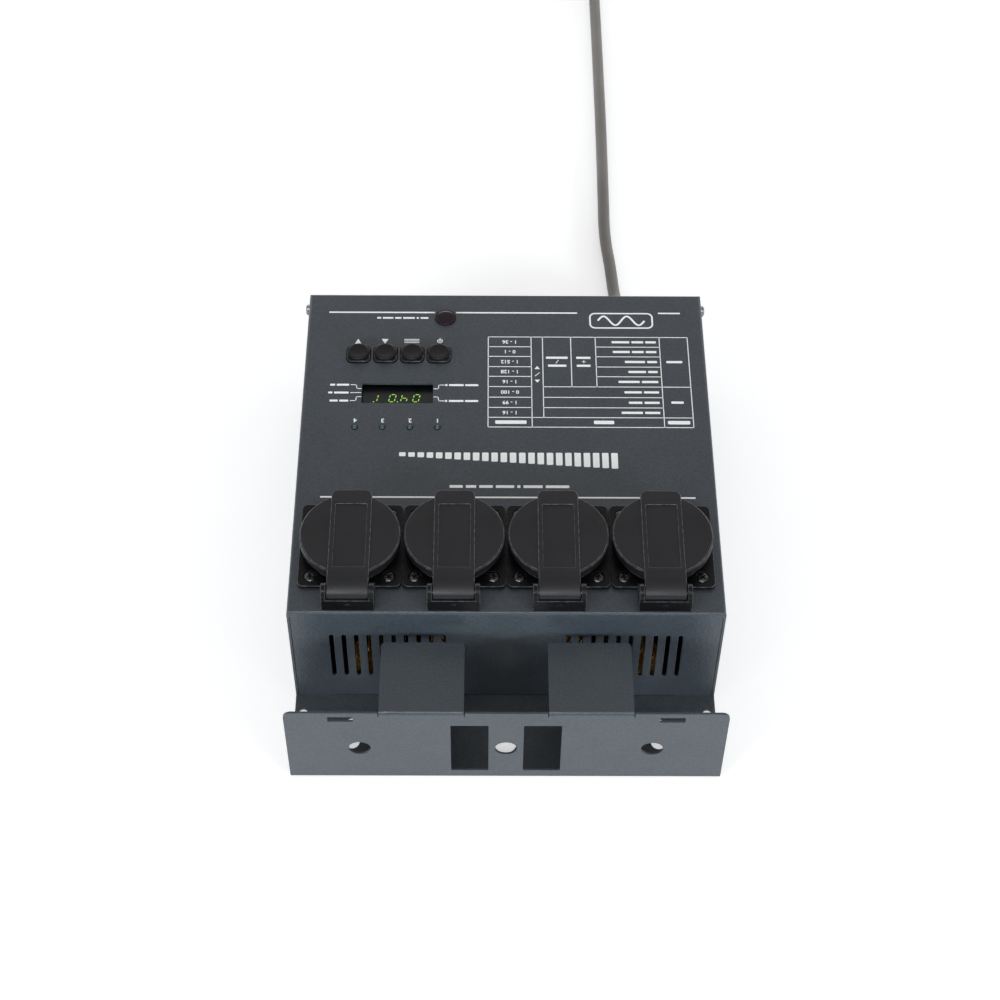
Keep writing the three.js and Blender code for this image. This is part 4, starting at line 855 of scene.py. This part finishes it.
class Print(Shape):
    def patch(self, *rings):
        return self.slab(rings, *INK)

    def line(self, points, width=0.95):
        for a, b in zip(points, points[1:]):
            a, b = Vector(a), Vector(b)
            along = (b - a).normalized() * width / 2
            side = Vector((-along.y, along.x))
            self.patch([tuple(p) for p in (a - along + side, a - along - side, b + along - side, b + along + side)])

    def words(self, x_end, y, widths, height=1.5, gap=1.1):
        """Bars for words, running towards -X from x_end."""
        for width in widths:
            self.patch(box_ring(x_end - width, x_end, y - height / 2, y + height / 2, height * 0.22, 3))
            x_end -= width + gap

    def digits(self, text, x, y, size):
        """Plain numerals centred on a point, upright for a reader on the far side."""
        holder = shown("numerals", given(
            bpy.data.curves.new("numerals", "FONT"), body=text, size=size, align_x="CENTER", align_y="CENTER",
            resolution_u=4, offset=0.022 * size, extrude=0.1,
        ))
        mesh = bpy.data.meshes.new_from_object(holder.evaluated_get(bpy.context.evaluated_depsgraph_get()))
        points = [(x - v.co.x, y - v.co.y, INK[v.co.z > 0]) for v in mesh.vertices]
        self.add(points, [tuple(p.vertices) for p in mesh.polygons])
        bpy.data.objects.remove(holder)
        bpy.data.meshes.remove(mesh)


ink = Print(white_ink)
for start, end, y in ((-93.5, -38.1, 105.4), (-25.8, 37.8, 105.4), (82, 92.8, 105.4), (-91.9, 93.7, -20.5)):
    ink.line([(start, y), (end, y)])

# Signs over the keys
ink.patch([(-79.45, 82.7), (-75.95, 82.7), (-77.7, 86.1)])
ink.patch([(-65.3, 86.1), (-63.55, 82.7), (-61.8, 86.1)])
for k in range(3):
    ink.words(-45.4, 83.65 + 1.1 * k, [8], 0.55)
ink.patch(circle(1.45, 32, -34.6, 84.75), circle(0.95, 32, -34.6, 84.75))
ink.line([(-34.6, 84.7), (-34.6, 86.5)], 0.55)

# Lens, display and channels
ink.words(-41, 101.4, [4.2, 1.2, 6.3, 3.4, 5.6, 2.1], 1.2, 0.9)
for edge, reach in ((-74.9, -5.2), (-37.1, 5.2)):
    for y, level in ((51.2, 53.8), (45.6, 42.9)):
        ink.line([(edge, y), (edge + reach * 0.42, y), (edge + reach * 0.48, level), (edge + reach, level)], THIN)
ink.line([(-74.9, 48.4), (-80.1, 48.4)], THIN)
for x, y, widths in (
    (-81.2, 53.8, [6.4, 2.6]), (-81.2, 48.4, [7.6, 2.2]), (-81.2, 42.9, [4.6, 4.2]),
    (-14.2, 53.8, [6.8, 7.6, 1.2]), (-14.2, 42.9, [6.8, 7.6, 1.2]),
):
    ink.words(x, y, widths, 1.3, 0.8)
for x, text in zip(COLUMNS, "4321"):
    ink.digits(text, x, 29.6, 3.6)

# Table of settings
rows = (87.9, 80.9, 74, 66.8, 60, 52.9, 45.6, 38.6, 31.9, 25.4)
left, values_end, names_start, names_end, right_end = -9.1, 13.5, 47.4, 81.2, 96.1
for x, y in (
    (left, rows[9]), (values_end, rows[9]), (names_end, rows[9]), (right_end, rows[9]), (19.5, rows[8]),
    (34.4, rows[5]), (names_start, rows[5]),
):
    ink.line([(x, y), (x, rows[0])], THIN)
for k, y in enumerate(rows):
    ink.line([(left, y), (values_end, y)], THIN)
    start = names_start if 0 < k < 5 else values_end if k in (0, 8, 9) else 19.5
    ink.line([(start, y), (right_end if k in (0, 5, 8, 9) else names_end, y)], THIN)
middles = [(a + b) / 2 for a, b in zip(rows, rows[1:])]
for y, text, widths in zip(
    middles,
    ("1 - 36", "0 - 1", "1 - 512", "1 - 128", "1 - 16", "0 - 100", "1 - 99", "1 - 16"),
    ([5.6, 6.2, 9.4], [5.6, 6.2, 9], [5.2, 10.6], [5, 9.2], [8.6, 11], [7.8, 9], [7.8, 7], [7.8, 11]),
):
    ink.digits(text, 2.2, y, 3.3)
    ink.words(79.4, y, widths)
for x, y, width, height in (
    (92.6, 70.4, 8.4, 1.5), (91.8, 42.3, 6.4, 1.5), (44.6, 73.2, 7.6, 1.5), (44.4, 67.6, 7.2, 1.5),
    (32.6, 73.2, 11.4, 1.5), (31.8, 67.6, 9.6, 1.5), (94.4, 28.7, 11.4, 2.3), (55.5, 28.7, 10.4, 2.3),
    (10.6, 28.7, 16, 2.3),
):
    ink.words(x, y, [width], height)
for *start, x, y in (
    (41, 69.6, 41, 71.2), (40.2, 70.4, 41.8, 70.4), (26.4, 69.4, 27.6, 71.4), (15.4, 60.4, 17.6, 62.6),
):
    ink.line([start, (x, y)], FINE)
ink.patch([(15.1, 65.2), (17.9, 65.2), (16.5, 67.3)])
ink.patch([(15.1, 57.8), (16.5, 55.7), (17.9, 57.8)])

# Growing bars, the line under them, and the badge with its wave
count, foot = 24, 8.4
for k in range(count):
    x = 56.5 - 4.66 * k
    ink.patch(box_ring(x - 3.3, x, foot - 2.2 - 8 * (count - k) / count, foot, 0.5, 3))
ink.words(31.6, -13.6, [11.8, 9.6, 1.6, 9.2, 6.8, 5.2, 6.6], 1.7, 1.5)
badge = box_ring(44.6, 78.6, 94.2, 105.6, 3.2, 6)
ink.patch(badge, outward(badge, -0.9))
reach, swing, weight = 12.4, 3.2, 0.55
upper, lower = [], []
for t in range(-count, count + 1):
    here = Vector((61.6 + reach * t / count, 99.9 + swing * sin(pi * t / 12)))
    slope = Vector((reach / count, swing * pi / 12 * cos(pi * t / 12))).normalized()
    upper.append(tuple(here + Vector((-slope.y, slope.x)) * weight))
    lower.append(tuple(here - Vector((-slope.y, slope.x)) * weight))
ink.patch(lower + upper[::-1])
ink.build("panel_print")


# Far wall: connectors, fuse holders and gland, each in a frame that looks out of the wall


def on_wall(x, z):
    return at(x, TRAY_END, z) @ BACK


def small_screws(shape, places):
    for k, place in enumerate(places):
        made = cross_screw(black_screw, 5, 1.2, 2.4, 3, 0.4)
        shape.at = Matrix.Translation((*place, 0)) @ Matrix.Rotation(0.7 + 1.9 * k, 4, "Z")
        shape.add(made.points, made.faces, black_screw)
    shape.at = FLAT


for name, x in SIGNALS:
    signal = Shape(nickel).sheet(box_ring(-13, 13, -15.5, 15.5, 2, 6), 0, 2, [circle(9.6, 64)], rim=0.3, edge=0.4)
    signal.lathe([(9.6, 1.7), (11.8, 1.7), (11.8, -20, 0.5), (9.6, -20)], loop=True, bend=5)
    s = -1 if name == "signal_input" else 1
    small_screws(signal, [(s * 9.8, 12.2), (s * -9.8, -12.2)])
    pins = arc(5, 0, 180, 2)
    if name == "signal_input":
        signal.lathe([(0, -19.8), (9.65, -19.8), (9.65, -12), (0, -12)], black_insert, steps=48)
        for pin in pins:
            signal.rod((*pin, -12.2), (*pin, -2), 1.2, steel, ease=0.6)
        signal.block((-1.6, 1.6), (-9.6, -8.3), (-12, 1.4), 0.25, black_insert)
    else:
        bores = [circle(1.55, 24, *pin) for pin in pins]
        signal.sheet(circle(9.45, 64), -19.5, 1.75, bores, rim=0.35, edge=0.3, finish=black_insert)
        signal.block((-2.6, 2.6), (9.9, 13.6), (1.6, 2.35), 0.2, steel, corner=0.8)
        signal.block((-1.5, 1.5), (-9.3, -8.1), (1.6, 1.95), 0.12, black_insert)
    signal.build(name + "_socket", [name], place=on_wall(x, SOCKET_LINE))

din = Shape(nickel).sheet(box_ring(-12, 12, -10, 10, 2, 6), 0, 2, [circle(6.5, 48)], rim=0.3, edge=0.35)
din.lathe([(6.5, 1.7), (7.8, 1.7), (7.8, -12, 0.4), (6.5, -12)], steps=48, loop=True, bend=5)
small_screws(din, [(-9.3, 0), (9.3, 0)])
bores = [circle(0.75, 16, *pin) for pin in arc(3.5, 0, 180, 4)]
din.sheet(circle(6.5, 48), -11.8, -1.2, bores, rim=0.25, finish=black_insert)
din.lathe([(5.7, -1.3), (6.0, 1.4), (6.35, 1.4), (6.4, -1.3)], steps=48, loop=True)
din.block((-1.3, 1.3), (-6.2, -4.9), (-1.3, 0.9), 0.2, black_insert)
din.build("control_din_socket", ["control_socket"], place=on_wall(CONTROL, SOCKET_LINE))

fuse = Shape(black_plastic).lathe([
    (0, -26), (5.4, -26, 0.5), (6.3, -8), (6.3, 0), (9, 0), (9, 1.5, 0.4), (7.2, 1.5), (7.2, 2.1), (0, 2.1),
])
cap = [polar(7.5 if j % 2 else 7.15, pi * j / 36) for j in range(72)]
crest, face, cut = circle(6.4, 72), 9.0, box_ring(-4.6, 4.6, -0.65, 0.65, 0.2)
fuse.loft([[(*p, z) for p in ring] for ring, z in (
    (cap, 2.0), (cap, 7.9), ([(a * 0.97, b * 0.97) for a, b in cap], 8.3), (circle(6.75, 72), 8.75), (crest, face),
)], caps=False)
fuse.flat([cap], 2.0).flat([crest, cut], face).wall(cut, [(0, face), (0, 7.4)]).flat([cut], 7.4)
for n, x in enumerate(FUSES, 1):
    fuse.build(f"fuse_cap_{n}", [f"fuse_holder_{n}"], place=on_wall(x, FUSE_LINE))

gland = Shape(black_plastic)
for profile, steps in (
    ([(3.6, -9), (6, -9, 0.4), (6, 0), (3.6, 0)], 32),
    ([(5.9, -5.2, 0.4), (9, -5.2, 0.6), (9, -1.2, 0.6), (5.9, -1.2, 0.4)], 6),
    ([(3.6, 0), (9.5, 0, 0.5), (9.5, 5, 0.9), (3.6, 5)], 6),
):
    gland.lathe(profile, steps=steps, loop=True, bend=5)
ribs = [(3.55, 4.8), (8.0, 4.8, 0.2)]
for k in range(6):
    y = 6.4 + 2.25 * k
    r = 8.0 - 0.42 * max(0, k - 1) - 0.06 * max(0, k - 1) ** 2
    ribs += [(r, y, 0.25), (r, y + 1.35, 0.3), (r - 0.8, y + 1.45, 0.12), (r - 0.95, y + 2.15, 0.12)]
ribs += [(5.2, 19.9, 0.3), (4.9, 20.5, 0.3), (3.55, 20.5, 0.15)]
gland.lathe(ribs, rubber, steps=48, loop=True, bend=3)
gland.build("lead_gland", ["cord_gland"], sharp=50, place=on_wall(*GLAND))


# Inside: wound chokes behind the vents, boards and heat sink


def swept(shape, points, radius, finish, steps=6):
    """A wire of round section along a line."""
    vectors = [Vector(p) for p in points]
    side = (vectors[1] - vectors[0]).orthogonal().normalized()
    rings = []
    for i, here in enumerate(vectors):
        along = (vectors[min(i + 1, len(vectors) - 1)] - vectors[max(i - 1, 0)]).normalized()
        side = (side - along * side.dot(along)).normalized()
        third = along.cross(side)
        rings.append([tuple(here + side * x + third * y) for x, y in circle(radius, steps)])
    return shape.loft(rings, finish)


TURNS, WOUND, CHOKE_HEIGHT = 46, 320, 18
for n, (x, lift) in enumerate(((-58.5, 0.5), (-24, 12), (24, 12), (58.5, 0.5)), 1):
    choke = Shape(ferrite)
    choke.lathe(box_ring(9.2, 16.8, -4.8, 4.8, 1, 3), steps=48, loop=True)
    section = box_ring(8.7, 17.3, -5.35, 5.35, 1.6, 3)
    count = TURNS * len(section)
    wire = []
    for i in range(count):
        r, h = section[i % len(section)]
        wire.append((*polar(r, radians(-250 + WOUND * i / count)), h))
    swept(choke, wire, 0.56, copper)
    choke.block((-7, 7), (-CHOKE_HEIGHT - lift, -15.6), (-2.9, 2.9), 0.4, black_insert)
    choke.build(f"wound_choke_{n}", [f"choke_{n}"], place=at(x, -81.5, SHEET + lift + CHOKE_HEIGHT) @ BACK)

for name in ("control_board", "power_board", "heat_sink"):
    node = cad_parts[name]
    given(node.modifiers.new("weld", "WELD"), merge_threshold=0.00001)
    given(node.modifiers.new("eased", "BEVEL"), width=0.0003, segments=2, angle_limit=radians(35))
    node.data.materials.clear()
    node.data.materials.append(aluminium if name == "heat_sink" else board)


# Plug: neck, grip, face with pins and side earth contacts

plug = Shape(black_plastic)
profile = [(0, 0.2), (3.5, 0), (4.6, 0, 0.3)]
for k in range(5):
    y = 1.2 + 2.9 * k
    r = 4.9 + 0.26 * k
    profile += [(r, y, 0.3), (r, y + 1.7, 0.3), (r - 0.8, y + 1.85, 0.15), (r - 0.75, y + 2.75, 0.15)]
plug.lathe([
    *profile, (6, 16, 1.5), (12.4, 22, 3), (13.5, 26, 4), (13.2, 36, 6), (18.2, 42.5, 3), (19, 45, 1.5),
    (19, 51, 0.8), (18, 52, 0.4), (0, 52),
], steps=72)
for s in (-1, 1):
    foot = (0, s * 9.5, 51.5)
    plug.rod(foot, (0, s * 9.5, 71), 2.4, nickel, ease=1.4)
    plug.rod(foot, (0, s * 9.5, 52.3), 3.4, ease=0.3)
    plug.block((s * 17.4 - 1.3, s * 17.4 + 1.3), (-2.6, 2.6), (45.2, 52.25), 0.3, nickel, corner=0.4)
    plug.at = spin(90 * s)
    for k in range(6):
        plug.block((12.2, 13.7), (-4.6, 4.6), (24.6 + 1.7 * k, 25.5 + 1.7 * k), 0.25, corner=0.4)
    plug.at = FLAT
plug_object = plug.build(
    "lead_plug", ["mains_plug"], sharp=48, place=at(PLUG_BACK, COIL_Y + COIL_RADIUS, PLUG_AXIS, -90, "Y"),
)


# Tie round the coil: a soft strap through the turns, its end laid over itself

tie = Shape(woven)
loop = box_ring(26.6, 52.2, 0.5, 15.4, 3.4, 6)
half, thick = 4, 0.35
tie.loft([
    [(x, -half, z), (x, half, z), (inside[0], half, inside[1]), (inside[0], -half, inside[1])]
    for (x, z), inside in zip(outward(loop, thick), outward(loop, -thick))
], loop=True)
half = 3.9
tail = rounded([(33, 16.05), (51.0, 16.05, 4.0), (52.95, 11.5, 0.5), (52.95, 8)], closed=False, steps=6)
tie.loft([
    [(x, -half, z), (x, half, z), (x + thick, half, z + 0.45), (x + thick, -half, z + 0.45)] for x, z in tail
])
tie_object = tie.build("coil_tie", place=at(COIL_X, COIL_Y, 0, 205))


# Floor, world and lamps, in metres

FLOOR = -0.0003
FLOOR_GLOW = 0.46
SKY = 0.54
PALE = (0.8, 0.8, 0.8)
WHITE, COOL, COOLER = (1, 1, 1), (0.9, 0.97, 1.0), (0.88, 0.94, 1.0)


def backdrop_material():
    """Pale floor that the camera, mirrors and glass see as white, with the shadow kept."""
    material = bpy.data.materials.new("studio_floor")
    material.use_nodes = True
    tree = material.node_tree
    tree.nodes.clear()
    rays = tree.nodes.new("ShaderNodeLightPath").outputs
    seen = add(tree, "Math", {0: rays["Is Camera Ray"], 1: rays["Is Glossy Ray"]}, operation="MAXIMUM")
    seen = add(tree, "Math", {0: seen, 1: rays["Is Transmission Ray"]}, operation="MAXIMUM")
    glow = add(tree, "Emission", {"Strength": add(tree, "Math", {0: seen, 1: FLOOR_GLOW}, operation="MULTIPLY")})
    both = add(tree, "AddShader", {0: add(tree, "BsdfDiffuse", {"Color": PALE}), 1: glow})
    add(tree, "OutputMaterial", {"Surface": both})
    return material


def backdrop_mesh(radius=6.5, cove=1.5, height=3.5, steps=96):
    """Round floor that turns up into a low wall, so that no side shows its end."""
    bend = [pi / 2 * k / 12 for k in range(13)]
    profile = [(radius + cove * sin(a), FLOOR + cove * (1 - cos(a))) for a in bend]
    profile.append((radius + cove, height))
    mesh = bpy.data.meshes.new("studio_floor")
    mesh.from_pydata(
        [(x, y, z) for r, z in profile for x, y in circle(r, steps)], [],
        [tuple(range(steps)), *skin(len(profile), steps)],
    )
    for face in mesh.polygons:
        face.use_smooth = face.index > 0
    mesh.materials.append(backdrop_material())
    return mesh


floor = shown("studio_floor", backdrop_mesh())

world = bpy.data.worlds.new("studio")
scene.world = world
world.use_nodes = True
feed(world.node_tree.nodes["Background"], {"Color": WHITE, "Strength": SKY})


def lamp(name, place, target, size, watts, colour=WHITE):
    data = bpy.data.lights.new(name, "AREA")
    given(data, shape="RECTANGLE", size=size[0], size_y=size[1], energy=watts, color=colour)
    obj = shown(name, data)
    obj.location = place
    obj.rotation_euler = (Vector(target) - Vector(place)).to_track_quat("-Z", "Y").to_euler()
    return obj


for side, x in (("left", -1.7), ("right", 1.7)):
    softbox = lamp(side + "_softbox", (x, -1.5, 0.5), (0, -0.1, 0.03), (0.9, 0.5), 44, COOL)
    softbox.visible_glossy = False
lamp("back_softbox", (0, 2.3, 0.6), (0, 0, 0.03), (2.4, 0.8), 12)
edge_strip = lamp("edge_strip", (-0.2, -0.72, 1.5), (0, -0.05, 0.05), (1.6, 0.16), 14, COOLER)
edge_strip.visible_diffuse = False

scene.view_settings.view_transform = "Standard"
